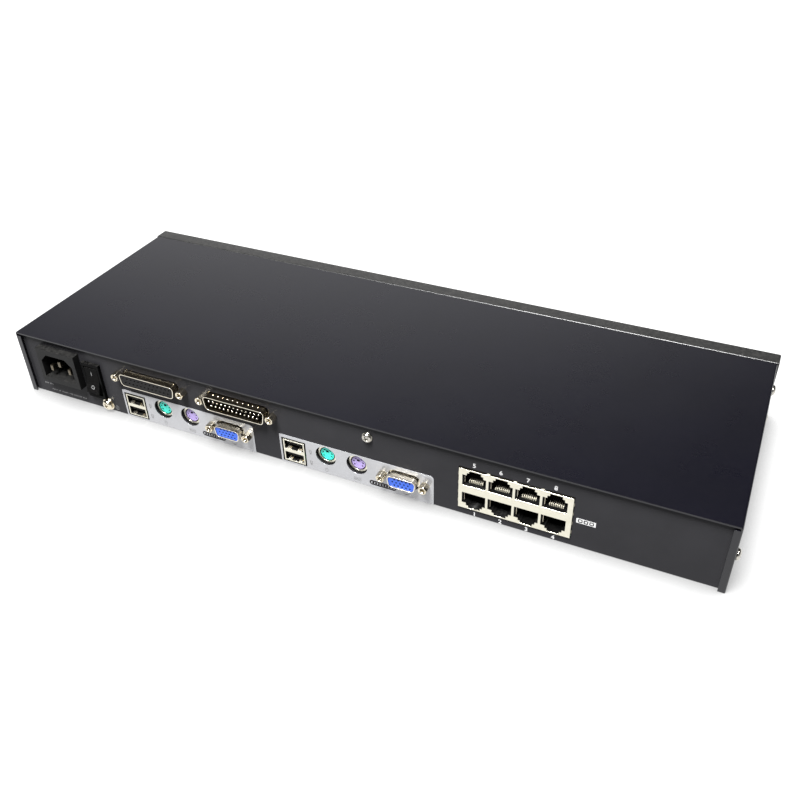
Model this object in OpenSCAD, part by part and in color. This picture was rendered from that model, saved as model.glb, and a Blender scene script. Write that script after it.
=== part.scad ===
// Rack-height console switch: a folded steel case one rack unit high, with power, chain,
// console and computer ports on its rear face and pushbuttons on its front face.
// +X is to the right seen from the front, +Y points to the rear face, +Z is up.
// The origin is the bottom centre of the whole assembly's bounding box.

/* [Case] */
// Width of the case over the cover's sides
body_w = 435.5; // [425:0.5:530]
// Depth of the case from the front face to the cover's rear edge
body_d = 155.5; // [150:0.5:200]
// Height of the case
body_h = 43.8; // [43:0.1:55]
// Thickness of the folded sheet metal
sheet = 1.0; // [0.8:0.1:1.3]
// How far the rear panel sits in from the cover's rear edge
panel_recess = 2.0; // [1.2:0.1:2.4]
// Width of the upright return flange at each end of the rear face
flange_w = 3.8; // [2.5:0.1:5]
// Depth of the front panel from front to back
front_d = 10.5; // [10:0.5:14]
// How far the front panel stands out past the cover on each side
front_proud = 1.0; // [0:0.1:2]
// Wall of the front panel
front_wall = 2.5; // [2:0.1:3]
// Gap between the cover and the pieces it slides over
cover_gap = 0.3; // [0.2:0.1:0.6]

/* [Power entry] */
// Distance of the mains inlet from the case end, seen from behind on the left
inlet_from_end = 31.8; // [28:0.1:33]
// Height of the mains inlet's centre
inlet_z = 26.0; // [22:0.1:27]
// Distance of the power switch from the same end
switch_from_end = 56.0; // [55:0.1:58]
// Height of the power switch's centre
switch_z = 21.6; // [20:0.1:24]
// Length of the rocker
rocker_len = 19.2; // [17:0.1:20]
// Tilt of the rocker to each side of its middle, in degrees
rocker_tilt = 9; // [6:1:10]
// Distance of the earth screw from the same end
ground_from_end = 62.2; // [61:0.1:64]
// Height of the earth screw
ground_z = 4.9; // [4.6:0.1:6]

/* [Chain ports] */
// Distance of the chain socket's centre from the case end
chain_socket_from_end = 100.4; // [99:0.1:104]
// Distance of the chain plug's centre from the case end
chain_plug_from_end = 161.2; // [159:0.1:166]
// Height of both chain connectors
chain_z = 31.4; // [31:0.1:33]
// Spacing of the jackscrews on a chain connector
chain_screws = 47.04; // [47:0.01:47.1]
// Spacing of the jackscrews on a video socket
video_screws = 24.99; // [24.9:0.01:25.1]
// Width across the flats of a jackscrew
jack_flats = 4.8; // [4.5:0.1:5]
// Thread hole radius of a jackscrew
jack_bore_r = 1.42; // [1.2:0.01:1.5]
// How far the jackscrews stand out of the rear panel
jack_reach = 5.0; // [4.9:0.1:6]

/* [Consoles] */
// Distance of the first console plate's near edge from the case end
console_from_end = 76; // [75:0.5:80]
// Distance between the two console groups
console_pitch = 111.4; // [105:0.1:116]
// Width of a console plate
plate_w = 95.2; // [94:0.1:98]
// Height of a console plate
plate_h = 20; // [19.4:0.1:20.5]
// Thickness of a console plate
plate_t = 0.3; // [0.2:0.05:0.5]
// Outer width of a stacked USB socket
usb_w = 13.6; // [12.8:0.1:14]
// Outer height of a stacked USB socket
usb_h = 15.2; // [14.8:0.1:15.6]
// Radius of the round hole for a mini-DIN socket
din_hole_r = 6.4; // [6.2:0.1:6.8]

/* [Computer ports] */
// Distance of the port block's centre from the case end
ports_from_end = 327.3; // [325:0.1:345]
// Height of the port block's centre
ports_z = 18.75; // [18.7:0.05:21]
// Distance between neighbouring ports
port_pitch = 14.35; // [14:0.05:14.6]
// Width of a port's opening
port_w = 12.2; // [11.8:0.1:12.3]
// Height of a port's opening without its latch notch
port_h = 7.0; // [6.8:0.1:7.2]
// Height of the latch notch
latch_h = 3.2; // [2.6:0.1:3.4]
// Wall between the two rows of ports
row_gap = 5.1; // [4.6:0.1:5.4]

/* [Front] */
// Width of a port button
button_w = 12; // [10:0.5:15]
// Height of a port button
button_h = 6; // [5:0.5:8]
// How far a port button stands out
button_proud = 0.8; // [0.5:0.1:1.2]
// Travel of a port button
button_travel = 1.0; // [0.6:0.1:1.2]
// Distance between port buttons
button_pitch = 24; // [20:0.5:26]
// Height of the row of buttons
button_z = 15; // [12:0.5:18]
// Gap round a moving button
button_gap = 0.3; // [0.2:0.05:0.5]

/* [Hidden] */
$fn = 48;

eps = 0.01;
touch = 0.05;                       // gap left between pieces of one assembly that only nearly meet
part_gap = 0.3;                     // gap round a connector in its cut-out

// Where the case lies in the frame
rear_reach = jack_reach - panel_recess;
front_y = button_proud - (button_proud + body_d + rear_reach) / 2;
rear_y = front_y + body_d;
seam_y = front_y + front_d;
panel_y = rear_y - panel_recess;    // outer face of the rear panel
panel_in = -sheet;                  // inner face of the rear panel, in the rear frame
cover_lift = 0.2;
base_half = body_w / 2 - sheet - cover_gap;
inner_top = body_h - sheet;

// Screws
screw_r = 1.45;
screw_head_r = 3.1;
screw_head_h = 2.4;
hole_r = screw_r + 0.1;
cover_screw_from_end = 244;
cover_screw_z = body_h - 8.6;
side_screws = [[rear_y - 6, 22], [front_y + 21, 32], [front_y + 21, 12]];

// Boards
board_t = 1.6;
board_z = 3.6;
board_top = board_z + board_t;
psu_z = 6;
psu_top = psu_z + board_t;
chain_board_z = chain_z - 8.7;
chain_board_top = chain_board_z + board_t;
board_gap = 1.0;
psu_w = 66;
main_from_end = psu_w + 8;

// Mains inlet
inlet_w = 30;
inlet_h = 24;
inlet_proud = 5.0;
inlet_body_w = 27;
inlet_body_h = 20;
inlet_body_d = 16;
inlet_hole_w = 24;
inlet_hole_h = 16.4;
inlet_hole_d = 15.5;
inlet_cut = 4.6;
blade_w = 2;
blade_h = 4;
blade_side = 7;

// Power switch
switch_w = 13;
switch_h = 25;
switch_proud = 2.2;
switch_body_d = 16;
rocker_w = 9.6;
rocker_gap = 0.3;
rocker_pivot = -2;
rocker_end = 5.6;
rocker_mid = 4.3;
rocker_foot = 1.0;
rocker_lean = 1.0;
pivot_r = 1.2;
pivot_play = 0.06;
well_w = rocker_w + 2 * rocker_gap;
well_h = rocker_len + 1.4;
switch_body_w = well_w + 1.8;
switch_body_h = well_h + 2;

// D-shaped connectors
d_slope = 10;
d_corner = 2.4;
d_rim = 0.45;
d_flange_t = 1.0;
d_flange_h = 12.5;
chain_nose_w = 39;
chain_nose_h = 8.2;
chain_flange_w = 53;
chain_plug_w = 40.6;
chain_plug_h = 9.2;
video_nose_w = 16.7;
video_nose_h = 7.6;
video_flange_w = 30.8;
video_z = 12.35;
nose_reach = 4.8;
pin_pitch = 2.77;
pin_rows = 2.84;
pin_r = 0.5;
chain_pins = [13, 12];
video_pin_pitch = 2.29;
video_pin_rows = 1.98;
jack_shank_r = 1.4;
jack_clear = 0.4;
chain_gap = 0.8;                    // gap round a connector's nose in its cut-out
video_gap = 1.2;

// Console sockets, measured from a plate's edge
usb_at = 9.0;
mouse_at = 29.6;
keyboard_at = 49.1;
video_at = 77.8;
usb_z = 9.6;
plate_trim = 1.4;                   // how much shorter the first console plate is
din_z = 13.1;
din_recess = 2.0;
din_gap = 0.6;                      // gap between a mini-DIN core and its shield
din_step = 0.4;                     // how far the shield stands in front of the core
din_shield_r = 5.9;
din_core_r = 4.15;
din_pin_ring = 2.9;
din_key = [1.6, 1.4, 1.6];          // width, height and centre height of the key slot
usb_wall = 0.4;
usb_gap = 1.0;
usb_depth = 17;
usb_proud = 0.4;
usb_slot_w = 12.0;
usb_slot_h = 5.7;
usb_slot_gap = 8.0;
tongue_t = 1.9;

// Port block
block_w = 4 * port_pitch + 3.5;
block_h = 2 * (row_gap / 2 + port_h + latch_h) + 1.4;
block_proud = 0.8;
block_depth = 19;
block_wall = 0.4;
cavity_d = 13;
latch_steps = [9.0, 6.5];
window_extra = 0.8;                 // how much wider the shield's windows are than the ports, all on one side
block_gap = 0.6;
contact_pitch = 1.02;
contact_w = 0.46;
contact_clear = 1.3;

// Front face
buttons_x = -25;
lens_z = button_z + 11;
lens_w = 4.2;
lens_h = 2.2;
lens_side = 3.6;
display_x = -175;
display_w = 30;
display_h = 15;
display_z = 22;
reset_x = 128;
reset_r = 1.4;
reset_travel = 0.7;
power_lens_x = 190;
front_board_y = front_y + front_d - board_t - 0.3;
tact = 6;
tact_d = 2.4;
tact_gap = 0.2;
flange_t = 0.9;
flange_over = 1.4;
boss_r = 3;
boss_x = body_w / 2 - 12;
boss_zs = [9, body_h - 9];

// Frames: the rear frame has its origin on the rear panel's outer face and +Y outwards.
function console_edge(group) = console_from_end + group * console_pitch;
function from_end_x(from_end) = body_w / 2 - from_end;
module at_rear(from_end, z) translate([from_end_x(from_end), panel_y, z]) children();
module at_front(x, z) translate([x, front_y, z]) children();

// Extrudes a shape drawn in X and Z from one Y to another.
module slab(y0, y1) translate([0, y1, 0]) rotate([90, 0, 0]) linear_extrude(y1 - y0) children();
module box_xz(w, h, y0, y1) translate([-w / 2, y0, -h / 2]) cube([w, y1 - y0, h]);
module rod_y(r, y0, y1) slab(y0, y1) circle(r);
module rod_x(r, x0, x1) translate([x0, 0, 0]) rotate([0, 90, 0]) cylinder(r = r, h = x1 - x0);

// Corner arc and outline of a D-shaped connector nose, w wide at its top corners.
function arc(c, r, a0, a1, n = 5) = [for (i = [0:n]) c + r * [cos(a0 + (a1 - a0) * i / n), sin(a0 + (a1 - a0) * i / n)]];
function d_outline(w, h, r) =
  let (top = w / 2 - r, bottom = w / 2 - r - (h - 2 * r) * tan(d_slope), z = h / 2 - r)
  concat(
    arc([top, z], r, -d_slope, 90), arc([-top, z], r, 90, 180 + d_slope),
    arc([-bottom, -z], r, 180 + d_slope, 270), arc([bottom, -z], r, 270, 360 - d_slope)
  );
module d_face(w, h, grow = 0) polygon(d_outline(w + 2 * grow, h + 2 * grow, d_corner + grow));
module inlet_face(w, h, cut)
  polygon([[-w / 2, -h / 2], [w / 2, -h / 2], [w / 2, h / 2 - cut], [w / 2 - cut, h / 2],
           [-w / 2 + cut, h / 2], [-w / 2, h / 2 - cut]]);
module at_jacks(spacing) for (side = [-1, 1]) translate([side * spacing / 2, 0, 0]) children();

// Places that more than one piece needs
module each_port() for (row = [-1, 1], i = [-1.5:1.5]) translate([i * port_pitch, 0, 0]) mirror([0, 0, row < 0 ? 1 : 0]) translate([0, 0, row_gap / 2]) children();
module port_face(extra = 0)
  union() {
    translate([-port_w / 2, 0]) square([port_w + extra, port_h]);
    for (i = [0:1]) translate([-latch_steps[i] / 2, port_h - eps]) square([latch_steps[i], latch_h * (i + 1) / 2 + eps]);
  }
module each_button() for (i = [0:7]) translate([buttons_x + (i - 3.5) * button_pitch, 0, 0]) children();
module each_side_screw() for (side = [-1, 1], s = side_screws) translate([side * body_w / 2, s[0], s[1]]) mirror([side < 0 ? 1 : 0, 0, 0]) children();

module rear_cutouts() {
  at_rear(inlet_from_end, inlet_z) box_xz(inlet_body_w + part_gap, inlet_body_h + part_gap, -2 * sheet, sheet);
  at_rear(switch_from_end, switch_z) box_xz(switch_body_w + part_gap, switch_body_h + part_gap, -2 * sheet, sheet);
  at_rear(ground_from_end, ground_z) rod_y(1.95, -2 * sheet, sheet);
  at_rear(cover_screw_from_end, cover_screw_z) rod_y(hole_r, -2 * sheet, sheet);
  at_rear(chain_socket_from_end, chain_z) {
    slab(-2 * sheet, sheet) d_face(chain_nose_w, chain_nose_h, chain_gap);
    at_jacks(chain_screws) rod_y(jack_shank_r + jack_clear, -2 * sheet, sheet);
  }
  at_rear(chain_plug_from_end, chain_z) {
    slab(-2 * sheet, sheet) d_face(chain_plug_w, chain_plug_h, chain_gap);
    at_jacks(chain_screws) rod_y(jack_shank_r + jack_clear, -2 * sheet, sheet);
  }
  for (group = [0, 1]) console_cutouts(group, -2 * sheet, sheet);
  at_rear(ports_from_end, ports_z) box_xz(block_w + block_gap, block_h + 2 * block_gap, -2 * sheet, sheet);
}

module console_cutouts(group, y0, y1) {
  edge = console_edge(group);
  at_rear(edge + usb_at, usb_z) box_xz(usb_w + 2 * usb_gap, usb_h + 2 * usb_gap, y0, y1);
  for (at = [mouse_at, keyboard_at]) at_rear(edge + at, din_z) rod_y(din_hole_r, y0, y1);
  at_rear(edge + video_at, video_z) {
    slab(y0, y1) d_face(video_nose_w, video_nose_h, video_gap);
    at_jacks(video_screws) rod_y(jack_shank_r + jack_clear, y0, y1);
  }
}

module chassis_base() {
  wall_h = inner_top - cover_gap;
  side_h = body_h - 6;
  color([0.09, 0.09, 0.1]) difference() {
    union() {
      translate([-base_half, seam_y, 0]) cube([2 * base_half, panel_y - seam_y, sheet]);
      translate([-base_half, panel_y - sheet, 0]) cube([2 * base_half, sheet, wall_h]);
      translate([-base_half, seam_y, 0]) cube([2 * base_half, sheet, wall_h]);
      for (side = [-1, 1])
        translate([side * (base_half - sheet / 2) - sheet / 2, seam_y, 0]) cube([sheet, panel_y - seam_y, side_h]);
    }
    rear_cutouts();
    each_side_screw() rod_x(hole_r, -3 * sheet - cover_gap, sheet);
    for (side = [-1, 1], z = boss_zs) translate([side * boss_x, seam_y, z]) rod_y(hole_r, -sheet, 2 * sheet);
    for (p = standoff_places()) translate([p[0], p[1], -eps]) cylinder(r = 1.5, h = sheet + 2 * eps);
  }
}

module top_cover() {
  tab_y = panel_y - 2 * sheet - touch;
  relief = 1.4;
  tab_w = 12;
  color([0.13, 0.13, 0.15]) difference() {
    union() {
      translate([-body_w / 2, seam_y + cover_gap, inner_top]) cube([body_w, rear_y - seam_y - cover_gap, sheet]);
      for (side = [-1, 1]) {
        translate([side * (body_w - sheet) / 2 - sheet / 2, seam_y + cover_gap, cover_lift])
          cube([sheet, rear_y - seam_y - cover_gap, body_h - cover_lift]);
        translate([side * (body_w - flange_w) / 2 - flange_w / 2, rear_y - sheet, cover_lift])
          cube([flange_w, sheet, inner_top - relief - cover_lift]);
      }
      translate([from_end_x(cover_screw_from_end) - tab_w / 2, tab_y, cover_screw_z - 6])
        cube([tab_w, sheet, inner_top - cover_screw_z + 6 + eps]);
    }
    each_side_screw() rod_x(hole_r, -2 * sheet, sheet);
    at_rear(cover_screw_from_end, cover_screw_z) rod_y(hole_r, -4 * sheet, 0);
  }
}

module front_panel() {
  half = body_w / 2 + front_proud;
  rim = front_wall + front_proud;
  color([0.1, 0.1, 0.11]) difference() {
    union() {
      difference() {
        translate([-half, front_y, cover_lift]) cube([2 * half, front_d, body_h - cover_lift]);
        translate([-half + rim, front_y + front_wall, front_wall])
          cube([2 * (half - rim), front_d, body_h - 2 * front_wall]);
      }
      for (side = [-1, 1], z = boss_zs) translate([side * boss_x, front_y, z]) rod_y(boss_r, front_wall - eps, front_d);
    }
    for (side = [-1, 1], z = boss_zs) translate([side * boss_x, front_y, z]) rod_y(screw_r + touch, front_wall + 1, front_d + 1);
    at_front(0, button_z) each_button() box_xz(button_w + 2 * button_gap, button_h + 2 * button_gap, -1, front_wall + 1);
    at_front(display_x, display_z) box_xz(display_w + 2 * touch, display_h + 2 * touch, -1, front_wall + 1);
    at_front(reset_x, button_z) rod_y(reset_r + button_gap, -1, front_wall + 1);
    each_lens() box_xz(lens_w + 2 * touch, lens_h + 2 * touch, -1, front_wall + 1);
  }
}

module each_lens() {
  at_front(0, lens_z) each_button() for (side = [-1, 1]) translate([side * lens_side, 0, 0]) children();
  at_front(power_lens_x, button_z) children();
}

module console_plate(group) {
  width = plate_w - (group == 0 ? plate_trim : 0);
  color([0.76, 0.77, 0.79]) difference() {
    translate([from_end_x(console_edge(group) + width), panel_y, cover_lift]) cube([width, plate_t, plate_h]);
    console_cutouts(group, -sheet, 2 * plate_t + eps);
  }
}
module console_plate_a() console_plate(0);
module console_plate_b() console_plate(1);

// Power entry
module inlet_body()
  color([0.06, 0.06, 0.07]) at_rear(inlet_from_end, inlet_z) difference() {
    union() {
      box_xz(inlet_w, inlet_h, 0, inlet_proud);
      box_xz(inlet_body_w, inlet_body_h, -inlet_body_d, eps);
    }
    slab(inlet_proud - inlet_hole_d, inlet_proud + 1) inlet_face(inlet_hole_w, inlet_hole_h, inlet_cut);
    each_blade() box_xz(blade_w + 2 * touch, blade_h + 2 * touch, -inlet_body_d - 1, 0);
  }
module each_blade() for (p = [[-blade_side, -blade_h / 2], [0, blade_h / 2], [blade_side, -blade_h / 2]]) translate([p[0], 0, p[1]]) children();
module inlet_blades()
  color([0.8, 0.8, 0.82]) at_rear(inlet_from_end, inlet_z) each_blade() box_xz(blade_w, blade_h, -inlet_body_d - 5, inlet_proud - 1.5);

module switch_housing()
  color([0.06, 0.06, 0.07]) at_rear(switch_from_end, switch_z) {
    difference() {
      union() {
        box_xz(switch_w, switch_h, 0, switch_proud);
        box_xz(switch_body_w, switch_body_h, -switch_body_d, eps);
      }
      box_xz(well_w, well_h, -6, switch_proud + 1);
      translate([0, rocker_pivot, 0]) rod_x(pivot_r + pivot_play, -switch_body_w / 2 - 1, switch_body_w / 2 + 1);
    }
    for (i = [-1:1]) translate([0, 0, i * 7]) box_xz(4.8, 0.8, -switch_body_d - 6, -switch_body_d + eps);
  }
module switch_rocker()
  color([0.05, 0.05, 0.06]) at_rear(switch_from_end, switch_z) translate([0, rocker_pivot, 0]) rotate([rocker_tilt, 0, 0]) {
    half = rocker_len / 2;
    rotate([90, 0, 90]) translate([0, 0, -rocker_w / 2]) linear_extrude(rocker_w)
      polygon([[-rocker_foot, -half], [rocker_end, -half + rocker_lean], [rocker_mid, 0],
               [rocker_end, half - rocker_lean], [-rocker_foot, half]]);
    rod_x(pivot_r, -switch_body_w / 2, switch_body_w / 2);
  }
module ground_screw()
  color([0.8, 0.74, 0.6]) at_rear(ground_from_end, ground_z) {
    rod_y(4.2, 0, 0.8);
    difference() {
      rod_y(3.3, 0.8 - eps, 3.4);
      cross_slot(3.4);
    }
    rod_y(1.85, -8, eps);
  }
module cross_slot(face) for (turn = [0, 90]) rotate([0, turn, 0]) box_xz(3.4, 0.7, face - 1.1, face + 1);

// Chain and video connectors
module d_shell(nose_w, nose_h, flange_w, spacing)
  difference() {
    union() {
      box_xz(flange_w, d_flange_h, panel_in - d_flange_t, panel_in);
      slab(panel_in - d_flange_t, nose_reach) d_face(nose_w, nose_h);
    }
    slab(panel_in - d_flange_t - 1, nose_reach + 1) d_face(nose_w, nose_h, -d_rim);
    at_jacks(spacing) rod_y(jack_shank_r + jack_clear, panel_in - 2 * d_flange_t, 0);
  }
// Pin places: rows of pins centred on the connector, the longest row on top.
module each_pin(rows, pitch, row_pitch, shift = 0)
  for (r = [0:len(rows) - 1], i = [0:rows[r] - 1])
    translate([(i - (rows[r] - 1) / 2 + (r % 2) * shift) * pitch, 0, ((len(rows) - 1) / 2 - r) * row_pitch]) children();
module d_block(width, down_to, y1) translate([-width / 2, panel_in - d_flange_t - 10, down_to]) cube([width, y1 - panel_in + d_flange_t + 10, d_flange_h / 2 - down_to]);

module chain_socket_shell() color([0.7, 0.68, 0.62]) at_rear(chain_socket_from_end, chain_z) d_shell(chain_nose_w, chain_nose_h, chain_flange_w, chain_screws);
module chain_socket_insert()
  color([0.08, 0.08, 0.09]) at_rear(chain_socket_from_end, chain_z) difference() {
    union() {
      slab(panel_in - d_flange_t - touch, nose_reach - 0.25) d_face(chain_nose_w, chain_nose_h, -d_rim - touch);
      d_block(42, chain_board_top - chain_z + touch, panel_in - d_flange_t - touch);
    }
    each_pin(chain_pins, pin_pitch, pin_rows) rod_y(pin_r + 0.1, nose_reach - 6, nose_reach, $fn = 16);
  }
module chain_socket_contacts()
  color([0.85, 0.7, 0.35]) at_rear(chain_socket_from_end, chain_z)
    each_pin(chain_pins, pin_pitch, pin_rows) rod_y(pin_r, -16, panel_in - d_flange_t - 10.1, $fn = 16);
module chain_plug_shell() color([0.7, 0.68, 0.62]) at_rear(chain_plug_from_end, chain_z) d_shell(chain_plug_w, chain_plug_h, chain_flange_w, chain_screws);
module chain_plug_insert()
  color([0.08, 0.08, 0.09]) at_rear(chain_plug_from_end, chain_z) difference() {
    union() {
      slab(panel_in - d_flange_t - touch, panel_in + 0.8) d_face(chain_plug_w, chain_plug_h, -d_rim - touch);
      d_block(42, chain_board_top - chain_z + touch, panel_in - d_flange_t - touch);
    }
    each_pin(chain_pins, pin_pitch, pin_rows) rod_y(pin_r + touch, -14, 1, $fn = 16);
  }
module chain_plug_pins()
  color([0.86, 0.78, 0.5]) at_rear(chain_plug_from_end, chain_z)
    each_pin(chain_pins, pin_pitch, pin_rows) rod_y(pin_r, -15, nose_reach - 0.6, $fn = 16);

module video_shell(group) color([0.72, 0.71, 0.68]) at_rear(console_edge(group) + video_at, video_z) d_shell(video_nose_w, video_nose_h, video_flange_w, video_screws);
module video_insert(group)
  color([0.12, 0.25, 0.75]) at_rear(console_edge(group) + video_at, video_z) difference() {
    union() {
      slab(panel_in - d_flange_t - touch, nose_reach - 0.5) d_face(video_nose_w, video_nose_h, -d_rim - touch);
      d_block(20, board_top - video_z + touch, panel_in - d_flange_t - touch);
    }
    each_pin([5, 5, 5], video_pin_pitch, video_pin_rows, 0.5) translate([-video_pin_pitch / 4, 0, 0])
      rod_y(pin_r, nose_reach - 6, nose_reach, $fn = 16);
  }
module video_shell_a() video_shell(0);
module video_shell_b() video_shell(1);
module video_insert_a() video_insert(0);
module video_insert_b() video_insert(1);

module jackscrew(seat)
  difference() {
    union() {
      translate([0, jack_reach, 0]) rotate([90, 0, 0]) cylinder(r = jack_flats / 2 / cos(30), h = jack_reach - seat, $fn = 6);
      rod_y(jack_shank_r, -6, seat + eps);
    }
    rod_y(jack_bore_r, seat + 0.3, jack_reach + 1);
  }
module jackscrews()
  color([0.82, 0.8, 0.76]) {
    for (from_end = [chain_socket_from_end, chain_plug_from_end]) at_rear(from_end, chain_z) at_jacks(chain_screws) jackscrew(0);
    for (group = [0, 1]) at_rear(console_edge(group) + video_at, video_z) at_jacks(video_screws) jackscrew(plate_t);
  }

// Console sockets
module usb_shell(group)
  color([0.78, 0.76, 0.7]) at_rear(console_edge(group) + usb_at, usb_z) difference() {
    box_xz(usb_w, usb_h, usb_proud - usb_depth, usb_proud);
    box_xz(usb_w - 2 * usb_wall, usb_h - 2 * usb_wall, usb_proud - usb_depth - 1, usb_proud - usb_wall);
    for (side = [-1, 1]) translate([0, 0, side * usb_slot_gap / 2]) box_xz(usb_slot_w, usb_slot_h, usb_proud - 1, usb_proud + 1);
  }
module usb_core(group)
  color([0.1, 0.1, 0.11]) at_rear(console_edge(group) + usb_at, usb_z) {
    inner_w = usb_w - 2 * usb_wall - 2 * touch;
    inner_h = usb_h - 2 * usb_wall - 2 * touch;
    front = usb_proud - usb_wall - touch;
    difference() {
      box_xz(inner_w, inner_h, usb_proud - usb_depth, front);
      for (side = [-1, 1]) translate([0, 0, side * usb_slot_gap / 2]) box_xz(usb_slot_w, usb_slot_h, -12, front + 1);
    }
    for (side = [-1, 1]) translate([0, 0, side * usb_slot_gap / 2 + 0.9]) box_xz(usb_slot_w - 1.6, tongue_t, -12 - eps, front - 0.8);
  }
module usb_shell_a() usb_shell(0);
module usb_shell_b() usb_shell(1);
module usb_core_a() usb_core(0);
module usb_core_b() usb_core(1);

module din_socket(group, at, tint)
  color(tint) at_rear(console_edge(group) + at, din_z) difference() {
    union() {
      rod_y(din_core_r, -12, -din_recess);
      translate([-7, -13, board_top - din_z + touch]) cube([14, 13 - sheet - 2.2, 6.6 + din_z - board_top]);
    }
    for (turn = [-1, 1]) for (a = [35, 80, 125]) rotate([0, turn * a, 0]) translate([0, 0, din_pin_ring]) rod_y(0.45, -6, 1, $fn = 16);
    translate([0, 0, din_key[2]]) box_xz(din_key[0], din_key[1], -6, 1);
  }
mouse_tint = [0.1, 0.72, 0.6];
keyboard_tint = [0.5, 0.42, 0.78];
module mouse_socket_a() din_socket(0, mouse_at, mouse_tint);
module mouse_socket_b() din_socket(1, mouse_at, mouse_tint);
module keyboard_socket_a() din_socket(0, keyboard_at, keyboard_tint);
module keyboard_socket_b() din_socket(1, keyboard_at, keyboard_tint);
module din_shields()
  color([0.75, 0.74, 0.7]) for (group = [0, 1], at = [mouse_at, keyboard_at])
    at_rear(console_edge(group) + at, din_z) difference() {
      rod_y(din_shield_r, -sheet - 2.1, -din_recess + din_step);
      rod_y(din_core_r + din_gap, -sheet - 3, 1);
    }

// Port block
module port_shield()
  color([0.83, 0.81, 0.75]) at_rear(ports_from_end, ports_z) difference() {
    box_xz(block_w, block_h, block_proud - block_depth, block_proud);
    box_xz(block_w - 2 * block_wall, block_h - 2 * block_wall, block_proud - block_depth - 1, block_proud - block_wall);
    each_port() slab(block_proud - 1, block_proud + 1) port_face(window_extra);
  }
module port_housing()
  color([0.09, 0.09, 0.1]) at_rear(ports_from_end, ports_z) difference() {
    inner = 2 * (block_wall + touch);
    front = block_proud - block_wall - touch;
    box_xz(block_w - inner, block_h - inner, block_proud - block_depth, front);
    each_port() slab(front - cavity_d, front + 1) port_face();
  }
module port_contacts()
  color([0.9, 0.72, 0.3]) at_rear(ports_from_end, ports_z) each_port()
    for (i = [-3.5:3.5]) translate([i * contact_pitch, 0, contact_clear]) rotate([-6, 0, 0])
      box_xz(contact_w, 0.35, 1 - cavity_d, -1.2);

// Boards and what stands on them
function standoff_places() = concat(
  [for (x = [main_from_end + 16, (main_from_end + body_w) / 2, body_w - 14], y = [seam_y + 16, panel_y - 34]) [from_end_x(x), y]],
  [for (x = [9, psu_w - 3], y = [seam_y + 14, panel_y - 34]) [from_end_x(x), y]]
);
module board(x_from, x_to, y_from, y_to, z)
  translate([from_end_x(x_to), y_from, z]) cube([x_to - x_from, y_to - y_from, board_t]);
module main_board()
  color([0.05, 0.32, 0.16]) difference() {
    board(main_from_end, body_w - 8, seam_y + 10, panel_y - sheet - board_gap, board_z);
    for (group = [0, 1]) at_rear(console_edge(group) + usb_at, usb_z)
      box_xz(usb_w + 2 * usb_gap, 20, -usb_depth - 1, 0);
    for (i = [0:5]) translate(concat(standoff_places()[i], [0])) cylinder(r = hole_r, h = body_h);
  }
chain_from = chain_socket_from_end - 28;
chain_to = chain_plug_from_end + 28;
chain_back = panel_y - 40;
module chain_board()
  color([0.05, 0.32, 0.16]) difference() {
    board(chain_from, chain_to, chain_back, panel_y - sheet - board_gap - d_flange_t, chain_board_z);
    for (x = [chain_from + 4, chain_to - 4]) translate([from_end_x(x), chain_back + 5, 0]) cylinder(r = hole_r, h = body_h);
  }
module psu_board()
  color([0.4, 0.3, 0.12]) difference() {
    board(4, psu_w + 2, seam_y + 6, panel_y - 26, psu_z);
    for (i = [6:9]) translate(concat(standoff_places()[i], [0])) cylinder(r = hole_r, h = body_h);
  }
core_x = from_end_x(38);
core_y = (seam_y + panel_y) / 2 - 10;
coil_z = psu_top + 13;
module transformer_core()
  color([0.2, 0.2, 0.21]) translate([core_x, core_y, psu_top + touch]) difference() {
    translate([-14, -8, 0]) cube([28, 16, 26]);
    for (side = [-1, 1]) translate([side * 7.5 - 3.5, -9, 5]) cube([7, 18, 16]);
  }
module transformer_coil()
  color([0.85, 0.7, 0.2]) translate([core_x, core_y, psu_top + touch + 5.1]) difference() {
    translate([-10.9, -13, 0]) cube([21.8, 26, 15.8]);
    translate([-4.1, -8.1, -1]) cube([8.2, 16.2, 18]);
  }
module psu_capacitors()
  color([0.12, 0.14, 0.3]) for (p = [[14, -8, 9, 26], [14, 14, 5, 20], [59, 14, 5, 20], [59, 0, 5, 20]])
    translate([from_end_x(p[0]), core_y + p[1], psu_top + touch]) cylinder(r = p[2], h = p[3]);
module psu_heatsink()
  color([0.65, 0.66, 0.68]) translate([core_x, core_y - 24, psu_top + touch]) {
    translate([-15, -1.5, 0]) cube([30, 3, 22]);
    for (i = [-3:3]) translate([i * 4.6 - 0.6, -6, 0]) cube([1.2, 5, 22]);
  }
module switch_chips()
  color([0.12, 0.12, 0.13]) for (p = [[230, -30, 28], [290, -20, 20], [350, -30, 20], [150, -35, 16], [395, 10, 14]])
    translate([from_end_x(p[0]) - p[2] / 2, p[1] - p[2] / 2, board_top + touch]) cube([p[2], p[2], 2]);
module standoffs()
  color([0.8, 0.7, 0.4]) {
    for (i = [0:9]) translate(concat(standoff_places()[i], [sheet])) difference() {
      union() {
        cylinder(r = 2.8, h = (i < 6 ? board_z : psu_z) - sheet, $fn = 6);
        translate([0, 0, -sheet + touch]) cylinder(r = screw_r, h = sheet);
      }
      translate([0, 0, 0.5]) cylinder(r = screw_r + touch, h = body_h);
    }
    for (x = [chain_from + 4, chain_to - 4]) translate([from_end_x(x), chain_back + 5, board_top]) difference() {
      cylinder(r = 2.8, h = chain_board_z - board_top, $fn = 6);
      translate([0, 0, 0.5]) cylinder(r = screw_r + touch, h = body_h);
    }
  }
module board_screw(z) translate([0, 0, z]) {
  translate([0, 0, -board_t - 1]) cylinder(r = screw_r, h = board_t + 1 + eps);
  cylinder(r = screw_head_r - 0.3, h = screw_head_h);
}
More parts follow.
